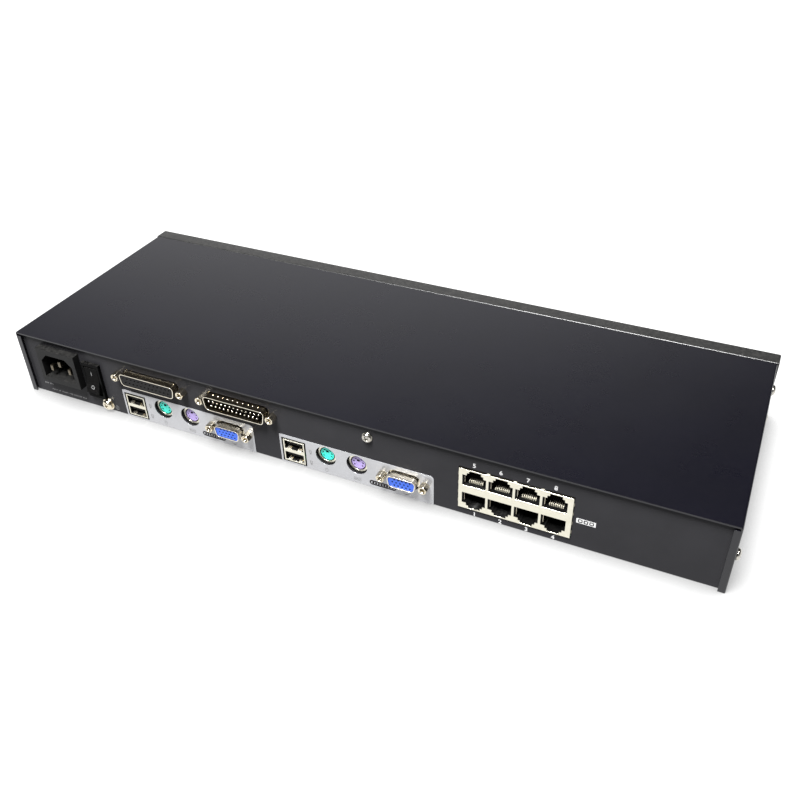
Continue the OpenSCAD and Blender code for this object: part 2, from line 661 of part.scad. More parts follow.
module board_screws()
  color([0.78, 0.78, 0.8]) {
    for (i = [0:9]) translate(concat(standoff_places()[i], [0])) board_screw(i < 6 ? board_top : psu_top);
    for (x = [chain_from + 4, chain_to - 4]) translate([from_end_x(x), chain_back + 5, 0]) board_screw(chain_board_top);
  }

// Case screws
module pan_screw(shank)
  difference() {
    union() {
      rod_y(screw_head_r, 0, screw_head_h * 0.55);
      translate([0, screw_head_h * 0.55, 0]) rotate([-90, 0, 0]) cylinder(r1 = screw_head_r, r2 = screw_head_r * 0.62, h = screw_head_h * 0.45);
      rod_y(screw_r, -shank, eps);
    }
    cross_slot(screw_head_h);
  }
module cover_screws()
  color([0.78, 0.77, 0.74]) {
    each_side_screw() rotate([0, 0, -90]) pan_screw(5);
    at_rear(cover_screw_from_end, cover_screw_z) pan_screw(5);
  }
module front_screws()
  color([0.78, 0.78, 0.8]) for (side = [-1, 1], z = boss_zs) translate([side * boss_x, seam_y + sheet, z]) pan_screw(6);

// Front face
module front_board()
  color([0.05, 0.32, 0.16]) translate([-body_w / 2 + 18, front_board_y, 5]) cube([body_w - 36, board_t, body_h - 10]);
module button_switches()
  color([0.15, 0.15, 0.16]) {
    translate([0, front_board_y, button_z]) each_button() box_xz(tact, tact, -tact_d, 0);
    translate([reset_x, front_board_y, button_z]) box_xz(tact, tact, -tact_d, 0);
  }
stem_end = front_board_y - front_y - tact_d - button_travel - tact_gap;
module port_button(i)
  color([0.3, 0.31, 0.33]) at_front(buttons_x + (i - 4.5) * button_pitch, button_z) {
    box_xz(button_w, button_h, -button_proud, front_wall + button_gap);
    box_xz(button_w + 2 * flange_over, button_h + 2 * flange_over, front_wall + button_gap - eps, front_wall + button_gap + flange_t);
    rod_y(1.7, front_wall + button_gap, stem_end);
  }
module port_button_1() port_button(1);
module port_button_2() port_button(2);
module port_button_3() port_button(3);
module port_button_4() port_button(4);
module port_button_5() port_button(5);
module port_button_6() port_button(6);
module port_button_7() port_button(7);
module port_button_8() port_button(8);
module reset_button()
  color([0.25, 0.25, 0.27]) at_front(reset_x, button_z) {
    rod_y(reset_r, 0.6, front_wall + button_gap);
    rod_y(reset_r + flange_over, front_wall + button_gap - eps, front_wall + button_gap + flange_t);
    rod_y(reset_r, front_wall + button_gap, front_board_y - front_y - tact_d - reset_travel - tact_gap);
  }
module station_display()
  color([0.07, 0.07, 0.07]) at_front(display_x, display_z) box_xz(25, 12, front_wall + 0.5, front_board_y - front_y);
module display_window()
  color([0.25, 0.04, 0.05]) at_front(display_x, display_z) box_xz(display_w, display_h, 0, front_wall);
module indicator_lenses()
  color([0.5, 0.85, 0.5]) each_lens() box_xz(lens_w, lens_h, -0.3, front_wall + 2);

chassis_base();
top_cover();
front_panel();
console_plate_a();
console_plate_b();
inlet_body();
inlet_blades();
switch_housing();
switch_rocker();
ground_screw();
chain_socket_shell();
chain_socket_insert();
chain_socket_contacts();
chain_plug_shell();
chain_plug_insert();
chain_plug_pins();
video_shell_a();
video_insert_a();
video_shell_b();
video_insert_b();
jackscrews();
usb_shell_a();
usb_core_a();
usb_shell_b();
usb_core_b();
mouse_socket_a();
mouse_socket_b();
keyboard_socket_a();
keyboard_socket_b();
din_shields();
port_shield();
port_housing();
port_contacts();
main_board();
chain_board();
psu_board();
transformer_core();
transformer_coil();
psu_capacitors();
psu_heatsink();
switch_chips();
standoffs();
board_screws();
cover_screws();
front_screws();
front_board();
button_switches();
station_display();
display_window();
indicator_lenses();
reset_button();
port_button_1();
port_button_2();
port_button_3();
port_button_4();
port_button_5();
port_button_6();
port_button_7();
port_button_8();
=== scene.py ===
"""Looks of a one-unit console switch: a black folded case whose rear face is full of sockets.

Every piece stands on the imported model, and its place comes from the boxes of the model's nodes.
Lengths in the building functions are millimetres; add_piece brings them to metres.
+X is to the right seen from the front, +Y points to the rear face and +Z is up.
"""

import math

import bmesh
import bpy
from mathutils import Matrix, Vector


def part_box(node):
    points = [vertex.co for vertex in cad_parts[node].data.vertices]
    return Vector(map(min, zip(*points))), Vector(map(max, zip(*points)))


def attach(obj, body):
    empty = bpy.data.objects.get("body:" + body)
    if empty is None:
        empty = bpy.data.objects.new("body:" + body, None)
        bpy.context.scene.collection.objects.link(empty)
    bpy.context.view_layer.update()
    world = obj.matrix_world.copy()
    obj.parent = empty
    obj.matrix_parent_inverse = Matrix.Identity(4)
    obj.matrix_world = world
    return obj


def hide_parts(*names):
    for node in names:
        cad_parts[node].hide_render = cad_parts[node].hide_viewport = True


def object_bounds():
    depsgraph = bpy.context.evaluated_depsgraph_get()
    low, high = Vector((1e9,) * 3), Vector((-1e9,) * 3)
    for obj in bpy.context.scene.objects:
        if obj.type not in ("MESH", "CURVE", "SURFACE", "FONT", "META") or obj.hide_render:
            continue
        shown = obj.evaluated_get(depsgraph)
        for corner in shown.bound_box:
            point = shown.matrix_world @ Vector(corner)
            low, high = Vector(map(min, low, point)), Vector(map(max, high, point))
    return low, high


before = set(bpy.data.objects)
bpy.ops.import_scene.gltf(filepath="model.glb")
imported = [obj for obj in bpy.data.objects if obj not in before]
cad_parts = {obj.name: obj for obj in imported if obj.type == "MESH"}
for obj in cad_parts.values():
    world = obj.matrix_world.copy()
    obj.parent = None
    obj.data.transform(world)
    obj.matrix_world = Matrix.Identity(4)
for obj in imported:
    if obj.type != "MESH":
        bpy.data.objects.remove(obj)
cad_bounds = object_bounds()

MM = 0.001

# ---------------------------------------------------------------- places taken from the frame


def span(node):
    """Lowest and highest corner of a node, in millimetres."""
    low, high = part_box(node)
    return low / MM, high / MM


def middle(node):
    low, high = span(node)
    return (low + high) / 2


COVER_HIGH = span("top_cover")[1]
BASE_LOW, BASE_HIGH = span("chassis_base")
BEZEL_LOW, BEZEL_HIGH = span("front_panel")
PANEL_Y = BASE_HIGH.y
FRONT_Y = BEZEL_LOW.y
CASE_END = COVER_HIGH.x

# Turn a flat drawing, with its face towards +Z, so that it reads right on the rear or the front.
ON_REAR = Matrix(((-1, 0, 0, 0), (0, 0, 1, 0), (0, 1, 0, 0), (0, 0, 0, 1)))
ON_FRONT = Matrix(((1, 0, 0, 0), (0, 0, -1, 0), (0, 1, 0, 0), (0, 0, 0, 1)))

CONSOLES = "ab"
PORT_PITCH = 14.35
PORT_ROW_GAP = 5.1
CONTACT_PITCH = 1.02
PIN_PITCH = 2.77
PIN_ROWS = 2.84
BUTTON_COUNT = 8
INK = 0.03  # thickness of a printed mark
WELD = 0.0005  # corners this close become one
SHARP_TURN = 46  # degrees by which an edge turns before it shows as an edge


# ---------------------------------------------------------------- shader node groups


def node(tree, kind, inputs=None, **settings):
    """A new node: inputs are values or the sockets that feed them, by name or number."""
    made = tree.nodes.new(kind)
    for key, value in settings.items():
        setattr(made, key, value)
    for key, value in (inputs or {}).items():
        if isinstance(value, bpy.types.NodeSocket):
            tree.links.new(value, made.inputs[key])
        else:
            made.inputs[key].default_value = value
    return made


def math_node(tree, operation, a, b=0.0, c=0.0, clamp=False):
    made = node(tree, "ShaderNodeMath", {0: a, 1: b, 2: c}, operation=operation, use_clamp=clamp)
    return made.outputs[0]


def mix_colour(tree, factor, a, b):
    return node(tree, "ShaderNodeMix", {0: factor, 6: a, 7: b}, data_type="RGBA").outputs[2]


def new_group(name, inputs, outputs):
    """An empty node group with (name, default) inputs and (name, is_colour) outputs."""
    tree = bpy.data.node_groups.new(name, "ShaderNodeTree")
    for label, default in inputs:
        kind = "NodeSocketFloat" if isinstance(default, float) else "NodeSocketColor"
        tree.interface.new_socket(label, in_out="INPUT", socket_type=kind).default_value = default
    for label, is_colour in outputs:
        kind = "NodeSocketColor" if is_colour else "NodeSocketFloat"
        tree.interface.new_socket(label, in_out="OUTPUT", socket_type=kind)
    return tree, tree.nodes.new("NodeGroupInput").outputs, tree.nodes.new("NodeGroupOutput")


def place_on_surface(tree, size_mm, stretch=(1, 1, 1)):
    """The place on the piece, counted in features of that size."""
    spot = node(tree, "ShaderNodeTexCoord").outputs["Object"]
    per_metre = math_node(tree, "DIVIDE", 1 / MM, size_mm)
    scaled = node(tree, "ShaderNodeVectorMath", {0: spot, 3: per_metre}, operation="SCALE").outputs[0]
    if stretch == (1, 1, 1):
        return scaled
    return node(tree, "ShaderNodeVectorMath", {0: scaled, 1: stretch}, operation="MULTIPLY").outputs[0]


def noise(tree, vector, detail=2.0, rough=0.5):
    return node(tree, "ShaderNodeTexNoise", {"Vector": vector, "Scale": 1.0, "Detail": detail,
                                             "Roughness": rough}).outputs["Fac"]


def grain_group():
    """Fine texture of a sprayed or moulded skin, as a height from 0 to 1."""
    tree, given, result = new_group("Grain", [("Size", 0.4)], [("Height", False)])
    fine = noise(tree, place_on_surface(tree, given["Size"]), 3.0, 0.6)
    tree.links.new(fine, result.inputs["Height"])
    return tree


def drift_group():
    """One colour drifting into another in soft patches, with a little fine mottling."""
    tree, given, result = new_group(
        "Colour drift",
        [("Color", (0.5, 0.5, 0.5, 1)), ("Second Color", (0.4, 0.4, 0.4, 1)), ("Size", 20.0)],
        [("Color", True)],
    )
    broad = noise(tree, place_on_surface(tree, given["Size"]), 4.0, 0.65)
    share = node(tree, "ShaderNodeMapRange", {"Value": broad, "From Min": 0.3, "From Max": 0.7})
    tree.links.new(mix_colour(tree, share.outputs[0], given["Color"], given["Second Color"]),
                   result.inputs["Color"])
    return tree


def smudge_group():
    """Roughness that varies where hands and tools have been."""
    tree, given, result = new_group(
        "Smudges", [("Roughness", 0.4), ("Swing", 0.1), ("Size", 15.0)], [("Roughness", False)]
    )
    patch = noise(tree, place_on_surface(tree, given["Size"]), 5.0, 0.6)
    centred = math_node(tree, "SUBTRACT", patch, 0.5)
    tree.links.new(math_node(tree, "MULTIPLY_ADD", centred, given["Swing"], given["Roughness"]),
                   result.inputs["Roughness"])
    return tree


def brushing_group():
    """Fine lines left on rolled or drawn metal, running along X."""
    tree, given, result = new_group(
        "Brushing", [("Size", 0.3), ("Height In", 0.5), ("Amount", 0.5)], [("Height", False)]
    )
    lines = noise(tree, place_on_surface(tree, given["Size"], (0.04, 1, 1)), 2.0)
    tree.links.new(
        node(tree, "ShaderNodeMix", {0: given["Amount"], 2: given["Height In"], 3: lines}).outputs[0],
        result.inputs["Height"],
    )
    return tree


def dust_group():
    """A thin pale dust that lies on faces looking up."""
    tree, given, result = new_group(
        "Dust", [("Color", (0.1, 0.1, 0.1, 1)), ("Amount", 0.1)], [("Color", True), ("Mask", False)]
    )
    facing = node(tree, "ShaderNodeNewGeometry").outputs["Normal"]
    up = node(tree, "ShaderNodeSeparateXYZ", {0: facing}).outputs["Z"]
    specks = noise(tree, place_on_surface(tree, 1.6), 6.0, 0.75)
    lying = node(tree, "ShaderNodeMapRange", {"Value": specks, "From Min": 0.45, "From Max": 0.8})
    upward = math_node(tree, "MULTIPLY", lying.outputs[0], up, clamp=True)
    mask = math_node(tree, "MULTIPLY", upward, given["Amount"], clamp=True)
    tree.links.new(mix_colour(tree, mask, given["Color"], (0.42, 0.40, 0.37, 1)), result.inputs["Color"])
    tree.links.new(mask, result.inputs["Mask"])
    return tree


def traces_group():
    """Copper tracks under a board's lacquer: a mask of thin lines that turn at right angles."""
    tree, given, result = new_group("Board tracks", [("Size", 3.0)], [("Mask", False)])
    spot = place_on_surface(tree, given["Size"])
    cells = node(tree, "ShaderNodeTexVoronoi", {"Vector": spot, "Scale": 1.0},
                 distance="MANHATTAN", feature="F1").outputs["Distance"]
    bands = math_node(tree, "PINGPONG", cells, 0.11)
    mask = node(tree, "ShaderNodeMapRange", {"Value": bands, "From Min": 0.05, "From Max": 0.06})
    tree.links.new(mask.outputs[0], result.inputs["Mask"])
    return tree


GRAIN = grain_group()
DRIFT = drift_group()
SMUDGE = smudge_group()
BRUSHING = brushing_group()
DUST = dust_group()
TRACKS = traces_group()


def use(tree, group, **inputs):
    """A group placed in a material, with underscores standing for spaces in its input names."""
    placed = node(tree, "ShaderNodeGroup", node_tree=group)
    for key, value in inputs.items():
        socket = placed.inputs[key.replace("_", " ")]
        if isinstance(value, bpy.types.NodeSocket):
            tree.links.new(value, socket)
        else:
            socket.default_value = value
    return placed.outputs


# ---------------------------------------------------------------- materials


def grey(value, tint=(1.0, 1.0, 1.0)):
    return tuple(value * part for part in tint) + (1.0,)


def blank_material(name):
    made = bpy.data.materials.new(name)
    made.use_nodes = True
    return made, made.node_tree, made.node_tree.nodes["Principled BSDF"]


def surface(name, colour, second, drift=20.0, rough=0.4, swing=0.1, smudge=15.0, grain=0.4,
            relief=0.01, lines=0.0, dust=0.0, **constants):
    """A finish from the shared effects. constants go straight onto the shader's own sockets."""
    made, tree, shader = blank_material(name)
    base = use(tree, DRIFT, Color=(*colour[:3], 1), Second_Color=(*second[:3], 1), Size=drift)["Color"]
    dusty = use(tree, DUST, Color=base, Amount=dust)
    tree.links.new(dusty["Color"], shader.inputs["Base Color"])
    dull = use(tree, SMUDGE, Roughness=rough, Swing=swing, Size=smudge)["Roughness"]
    tree.links.new(math_node(tree, "MULTIPLY_ADD", dusty["Mask"], 0.5, dull), shader.inputs["Roughness"])
    height = use(tree, GRAIN, Size=grain)["Height"]
    brushed = use(tree, BRUSHING, Size=grain, Height_In=height, Amount=lines)["Height"]
    bump = node(tree, "ShaderNodeBump", {"Height": brushed, "Distance": relief * MM, "Strength": 0.8})
    tree.links.new(bump.outputs[0], shader.inputs["Normal"])
    for socket, value in constants.items():
        shader.inputs[socket.replace("_", " ")].default_value = value
    return made


def paint(name, value, rough, relief, level, tint=(1, 0.99, 1.09)):
    """Black sprayed paint with a faint orange peel."""
    return surface(name, grey(value, tint), grey(value * 1.25, tint), 45.0,
                   rough, 0.06, 30.0, 0.55, relief, 0.0, 0.003, Specular_IOR_Level=level)


def plated(name, colour, second, rough=0.24, lines=0.5):
    """Bright plated metal with cloudy patches and drawing lines."""
    return surface(name, colour, second, 4.0, rough, 0.2, 3.0, 0.12, 0.006, lines, 0.02, Metallic=1.0)


def moulded(name, colour, second, rough=0.45, relief=0.02, **constants):
    """Moulded plastic with a fine spark-eroded skin."""
    return surface(name, colour, second, 8.0, rough, 0.12, 6.0, 0.2, relief, 0.0, 0.04, **constants)


def board_lacquer(name, colour, track_colour):
    """A printed board: tracks showing through coloured lacquer."""
    made, tree, shader = blank_material(name)
    tracks = use(tree, TRACKS, Size=3.2)["Mask"]
    base = use(tree, DRIFT, Color=colour, Second_Color=tuple(0.85 * c for c in colour[:3]) + (1,), Size=12.0)
    tree.links.new(mix_colour(tree, tracks, base["Color"], track_colour), shader.inputs["Base Color"])
    bump = node(tree, "ShaderNodeBump", {"Height": tracks, "Distance": 0.03 * MM, "Strength": 0.6})
    tree.links.new(bump.outputs[0], shader.inputs["Normal"])
    dull = use(tree, SMUDGE, Roughness=0.35, Swing=0.1, Size=8.0)["Roughness"]
    tree.links.new(dull, shader.inputs["Roughness"])
    return made


def ink(name, value, level=0.2):
    """Screen-printed ink, slightly uneven."""
    return surface(name, grey(value), grey(value * 0.88), 1.2, 0.5, 0.1, 2.0, 0.1, 0.004,
                   Specular_IOR_Level=level)


CASE_PAINT = paint("case_paint", 0.0125, 0.26, 0.006, 0.05)
COVER_PAINT = paint("cover_paint", 0.0006, 0.28, 0.004, 0.5, (1, 0.95, 3.0))
FRONT_PLASTIC = moulded("front_plastic", grey(0.004), grey(0.006), 0.34, 0.008, Specular_IOR_Level=0.4)
PLATE_SILVER = surface("label_silver", grey(0.30, (0.99, 1, 1.04)), grey(0.27, (1, 1, 1.03)), 14.0,
                       0.24, 0.1, 10.0, 0.16, 0.005, 0.3, 0.02, Metallic=0.55)
BLACK_PLASTIC = moulded("black_plastic", grey(0.0035), grey(0.0055), 0.4, Specular_IOR_Level=0.1)
SOCKET_BLACK = moulded("socket_black", grey(0.0015), grey(0.0025), 0.5, Specular_IOR_Level=0.06)
GLOSS_BLACK = moulded("gloss_black", grey(0.0015), grey(0.002), 0.16, 0.004, Specular_IOR_Level=0.02)
NICKEL = plated("nickel", (0.80, 0.76, 0.66), (0.70, 0.64, 0.52), 0.22)
SHIELD_NICKEL = plated("shield_nickel", (0.65, 0.63, 0.54), (0.60, 0.575, 0.475), 0.32, 0.7)
# Painted shade: nickel darkened for the chain connector shells, whose rims take the bright nickel.
SHADED_NICKEL = plated("shaded_nickel", (0.42, 0.37, 0.28), (0.28, 0.23, 0.15), 0.2, 0.4)
# Painted shade: a darkened plated metal for the inlet's blades and the port shield's sides, dark as they
# look in shade.
SHADED_METAL = plated("shaded_metal", (0.16, 0.14, 0.11), (0.10, 0.085, 0.06), 0.3, 0.4)
ZINC = plated("zinc", (0.52, 0.50, 0.46), (0.38, 0.36, 0.32), 0.26)
BRASS_NICKEL = plated("brass_nickel", (0.70, 0.65, 0.54), (0.56, 0.50, 0.38), 0.2)
DULL_TIN = plated("dull_tin", (0.26, 0.245, 0.20), (0.20, 0.185, 0.145), 0.55, 0.1)
GOLD = plated("gold", (0.95, 0.78, 0.40), (0.85, 0.65, 0.28), 0.18, 0.2)
PIN_METAL = plated("pin_metal", (0.93, 0.89, 0.80), (0.86, 0.80, 0.66), 0.14, 0.1)
SOCKET_BLUE = moulded("socket_blue", (0.006, 0.044, 0.27), (0.009, 0.055, 0.32), 0.38)
SOCKET_GREEN = moulded("socket_green", (0.014, 0.42, 0.33), (0.020, 0.47, 0.38), 0.4)
SOCKET_PURPLE = moulded("socket_purple", (0.23, 0.18, 0.37), (0.27, 0.21, 0.42), 0.4)
BOARD_GREEN = board_lacquer("board_green", (0.01, 0.11, 0.04, 1), (0.03, 0.22, 0.08, 1))
BOARD_TAN = board_lacquer("board_tan", (0.30, 0.19, 0.07, 1), (0.36, 0.24, 0.10, 1))
FERRITE = moulded("ferrite", grey(0.04), grey(0.06), 0.55, 0.03)
COIL_TAPE = moulded("coil_tape", (0.72, 0.50, 0.06), (0.80, 0.60, 0.10), 0.25)
SLEEVE = moulded("capacitor_sleeve", (0.02, 0.03, 0.10), (0.03, 0.04, 0.14), 0.25)
ALUMINIUM = plated("heatsink_alu", (0.72, 0.73, 0.74), (0.62, 0.63, 0.65), 0.38, 0.8)
WINDOW = moulded("window_smoke", (0.16, 0.01, 0.012), (0.20, 0.012, 0.015), 0.06, 0.002,
                 Transmission_Weight=0.75)
LENS_GREEN = moulded("lens_green", (0.16, 0.55, 0.16), (0.20, 0.62, 0.20), 0.2, 0.004,
                     Transmission_Weight=0.3)
BUTTON_GREY = moulded("button_grey", grey(0.075), grey(0.09), 0.42)
CHIP_BLACK = moulded("chip_black", grey(0.02), grey(0.03), 0.5, 0.03)
WHITE_INK = ink("white_ink", 0.38)
GREY_INK = ink("grey_ink", 0.10)
FADED_INK = ink("faded_ink", 0.11)
BLACK_INK = ink("black_ink", 0.0015, level=0.03)
LIT_SEGMENT = surface("lit_segment", (0.9, 0.08, 0.03, 1), (0.8, 0.06, 0.03, 1), 1.0, 0.4, 0.1, 2.0,
                      0.1, 0.004, Emission_Color=(1.0, 0.08, 0.03, 1), Emission_Strength=1.5)


# ---------------------------------------------------------------- mesh building


def cad_copy(name):
    """A node's own surface in millimetres, with split corners welded and flat faces made whole."""
    bm = bmesh.new()
    bm.from_mesh(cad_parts[name].data)
    bmesh.ops.scale(bm, vec=(1 / MM,) * 3, verts=bm.verts)
    bmesh.ops.remove_doubles(bm, verts=bm.verts, dist=0.002)
    bmesh.ops.dissolve_limit(bm, angle_limit=math.radians(1), verts=bm.verts, edges=bm.edges)
    return bm


def near(a, b):
    return abs(a - b) < 0.01


def both_at(axis, value):
    """Picks the edges that lie wholly at that height on an axis."""
    return lambda a, b: near(getattr(a, axis), value) and near(getattr(b, axis), value)


def shown(name, data):
    """A new object with that data, in the scene."""
    made = bpy.data.objects.new(name, data)
    bpy.context.scene.collection.objects.link(made)
    return made


def edge_turn(edge):
    return edge.calc_face_angle(0.0) if len(edge.link_faces) == 2 else 0.0


def round_edges(bm, width, segments=2, chosen=None, turn=40, clamp=True):
    """Rounds the edges that turn by more than that many degrees, or those of them that are chosen.

    Where clamp leaves a rounding no room, its thin faces are closed up again.
    """
    no_width = 0.003
    edges = [
        e for e in bm.edges
        if abs(edge_turn(e)) > math.radians(turn)
        and (chosen is None or chosen(e.verts[0].co, e.verts[1].co))
    ]
    if edges:
        bmesh.ops.bevel(bm, geom=edges, offset=width, offset_type="OFFSET", segments=segments,
                        profile=0.5, affect="EDGES", clamp_overlap=clamp)
        bmesh.ops.remove_doubles(bm, verts=bm.verts, dist=no_width)
        bmesh.ops.dissolve_degenerate(bm, edges=bm.edges, dist=no_width / 3)
    return bm


def add_piece(name, bm, material, nodes=(), body="case", flat_faces=False):
    """Makes the finished piece: in metres, with clean normals, on its body and standing for its nodes.

    flat_faces keeps the big flat faces quite even, for sheet and mouldings.
    """
    bmesh.ops.remove_doubles(bm, verts=bm.verts, dist=WELD)
    bmesh.ops.scale(bm, vec=(MM,) * 3, verts=bm.verts)
    mesh = bpy.data.meshes.new(name)
    bm.to_mesh(mesh)
    bm.free()
    materials = material if isinstance(material, (list, tuple)) else [material]
    for finish in materials:
        mesh.materials.append(finish)
    mesh.shade_smooth()
    mesh.set_sharp_from_angle(angle=math.radians(SHARP_TURN))
    piece = shown(name, mesh)
    normals = piece.modifiers.new("flat faces stay flat", "WEIGHTED_NORMAL")
    normals.keep_sharp = True
    normals.weight = 100 if flat_faces else 50
    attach(piece, body)
    if nodes:
        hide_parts(*nodes)
    return piece


def soften(name, material, width=0.15, segments=2, body="case"):
    """The node's own shape with its sharp edges broken, in a finish."""
    bm = round_edges(cad_copy(name), width, segments)
    return add_piece(name + ".rounded", bm, material, [name], body, flat_faces=True)


def two_tone(name, metal, second, is_second, width=0.12, segments=2, chosen=None):
    """The node's own shape in two finishes: the second one where is_second says so of a face."""
    bm = round_edges(cad_copy(name), width, segments, chosen, clamp=chosen is None)
    bm.normal_update()
    for face in bm.faces:
        face.material_index = int(is_second(face.calc_center_median(), face.normal))
    return add_piece(name + ".rounded", bm, [metal, second], [name], flat_faces=True)


def loft(bm, loops, closed=False):
    """Joins rings of points into a skin: closed comes round to the first ring, otherwise both ends close."""
    rings = [[bm.verts.new(p) for p in loop] for loop in loops]
    count = len(rings[0])
    pairs = list(zip(rings, rings[1:] + rings[:1])) if closed else list(zip(rings, rings[1:]))
    for a, b in pairs:
        for i in range(count):
            j = (i + 1) % count
            bm.faces.new((a[i], a[j], b[j], b[i]))
    if not closed:
        bm.faces.new(list(reversed(rings[0])))
        bm.faces.new(rings[-1])


def flat(outline, z):
    return [Vector((x, y, z)) for x, y in outline]


def round_y(radius, angle, y):
    """The point at that angle round the Y axis."""
    return Vector((radius * math.cos(angle), y, radius * math.sin(angle)))


def lofted(loops, closed=False):
    bm = bmesh.new()
    loft(bm, loops, closed)
    return bm


def turned(profile, steps=32):
    """A solid turned about the Y axis from (radius, y) points; the ends close flat."""
    angles = [math.tau * i / steps for i in range(steps)]
    return lofted([[round_y(radius, a, y) for a in angles] for radius, y in profile])


def block(low, high):
    """A box between two corners."""
    corners = [(low[0], low[1]), (high[0], low[1]), (high[0], high[1]), (low[0], high[1])]
    return lofted([flat(corners, z) for z in (low[2], high[2])])


def strip(path, width, thickness):
    """A bent metal strip: path is (y, z) points, its width lies along X about 0."""
    loops = []
    for i, point in enumerate(path):
        before, after = Vector(path[max(i - 1, 0)]), Vector(path[min(i + 1, len(path) - 1)])
        along = (after - before).normalized()
        across = Vector((-along.y, along.x)) * thickness / 2
        y, z = point
        loops.append([
            Vector((side * width / 2, y + lift * across.x, z + lift * across.y))
            for side, lift in ((-1, -1), (1, -1), (1, 1), (-1, 1))
        ])
    return lofted(loops)


def moved(bm, matrix):
    """The whole mesh put where the matrix says."""
    bmesh.ops.transform(bm, matrix=matrix, verts=bm.verts)
    return bm


def gathered(parts):
    """One mesh from several, so that what repeats is one piece."""
    whole = bmesh.new()
    for part in parts:
        passing = bpy.data.meshes.new("passing")
        part.to_mesh(passing)
        part.free()
        whole.from_mesh(passing)
        bpy.data.meshes.remove(passing)
    return whole


def outward(bm):
    bmesh.ops.recalc_face_normals(bm, faces=bm.faces)
    return bm


def carved(target, cutter):
    """The target mesh with the cutter taken out of it."""
    holders = []
    for label, bm in (("target", target), ("cutter", cutter)):
        mesh = bpy.data.meshes.new(label)
        outward(bm).to_mesh(mesh)
        bm.free()
        holders.append(shown(label, mesh))
    cut = holders[0].modifiers.new("cut", "BOOLEAN")
    cut.operation, cut.solver, cut.object = "DIFFERENCE", "EXACT", holders[1]
    graph = bpy.context.evaluated_depsgraph_get()
    result = bmesh.new()
    result.from_object(holders[0], graph)
    for holder in holders:
        mesh = holder.data
        bpy.data.objects.remove(holder)
        bpy.data.meshes.remove(mesh)
    return result


# ---------------------------------------------------------------- flat drawings for printed marks


def rounded_outline(width, height, radius, steps=5, centre=(0, 0)):
    """Points round a rectangle with round corners."""
    points = []
    for corner, (sx, sy) in enumerate(((1, 1), (-1, 1), (-1, -1), (1, -1))):
        cx, cy = sx * (width / 2 - radius), sy * (height / 2 - radius)
        for i in range(steps + 1):
            a = math.radians(90 * corner + 90 * i / steps)
            points.append((centre[0] + cx + radius * math.cos(a), centre[1] + cy + radius * math.sin(a)))
    return points


def mark_fill(bm, width, height, radius=0.1, centre=(0, 0), layer=0):
    """A filled rounded rectangle of ink."""
    outline = rounded_outline(width, height, min(radius, width / 2, height / 2), 5, centre)
    loft(bm, [flat(outline, layer * INK), flat(outline, (layer + 1) * INK)])


def mark_ring(bm, width, height, radius, line, centre=(0, 0), layer=0):
    """The outline of a rounded rectangle, drawn inwards with that line."""
    outer = rounded_outline(width, height, radius, 6, centre)
    inner = rounded_outline(width - 2 * line, height - 2 * line, max(radius - line, 0.05), 6, centre)
    low, high = layer * INK, (layer + 1) * INK
    loft(bm, [flat(outer, low), flat(outer, high), flat(inner, high), flat(inner, low)], closed=True)


def lettering(text, height, weight=0.0):
    """Plain digits as thin solid ink, centred, in millimetres."""
    curve = bpy.data.curves.new("letters", "FONT")
    curve.body = text
    curve.size = height / 0.7
    curve.align_x, curve.align_y = "CENTER", "CENTER"
    curve.extrude = INK / 2
    curve.offset = weight
    curve.resolution_u = 4
    holder = shown("letters", curve)
    graph = bpy.context.evaluated_depsgraph_get()
    mesh = bpy.data.meshes.new_from_object(holder.evaluated_get(graph))
    bm = bmesh.new()
    bm.from_mesh(mesh)
    bpy.data.objects.remove(holder)
    bpy.data.curves.remove(curve)
    bpy.data.meshes.remove(mesh)
    bmesh.ops.translate(bm, vec=(0, 0, INK / 2), verts=bm.verts)
    return bm


def on_rear(x, z, y=0.0):
    """Where a flat drawing goes on the rear panel."""
    return Matrix.Translation((x, PANEL_Y + y, z)) @ ON_REAR


def on_front(x, z):
    """Where a flat drawing goes on the front face."""
    return Matrix.Translation((x, FRONT_Y, z)) @ ON_FRONT


# ---------------------------------------------------------------- case


def along_y(a, b):
    return near(a.x, b.x) and near(a.z, b.z)


def upright(a, b):
    return near(a.x, b.x) and near(a.y, b.y)


def build_cover():
    """Cover: folded over both sides, with a return flange at each rear end."""
    bend, flange_bend, cut_edge = 1.1, 0.8, 0.05
    bm = cad_copy("top_cover")
    round_edges(bm, bend, 5, lambda a, b: along_y(a, b)
                and near(abs(a.x), COVER_HIGH.x) and near(a.z, COVER_HIGH.z))
    round_edges(bm, flange_bend, 4, lambda a, b: upright(a, b)
                and near(abs(a.x), COVER_HIGH.x) and near(a.y, COVER_HIGH.y))
    round_edges(bm, cut_edge, 1)
    # Painted shadow: the faces of the cover's rear cut edge take the dull black socket finish, a dark line
    # standing for the shade between the cover and the rear panel.
    bm.normal_update()
    for face in bm.faces:
        spot = face.calc_center_median()
        painted_shadow_line = spot.y > COVER_HIGH.y - 0.3 and spot.z > COVER_HIGH.z - 1.5 and face.normal.y > 0.3
        face.material_index = int(painted_shadow_line and abs(face.normal.x) < 0.3)
    add_piece("cover_shell", bm, [COVER_PAINT, SOCKET_BLACK], ["top_cover"],
              flat_faces=True)


def build_base():
    """Tray: floor, rear panel, front wall and sides folded from one sheet."""
    fold, cut_edge = 0.8, 0.1
    bm = cad_copy("chassis_base")
    on_floor = both_at("z", BASE_LOW.z)
    round_edges(bm, fold, 4, lambda a, b: on_floor(a, b) and (near(a.y, b.y) or near(a.x, b.x))
                and (near(a.y, PANEL_Y) or near(abs(a.x), BASE_HIGH.x)))
    round_edges(bm, cut_edge, 1)
    add_piece("base_tray", bm, CASE_PAINT, ["chassis_base"], flat_faces=True)


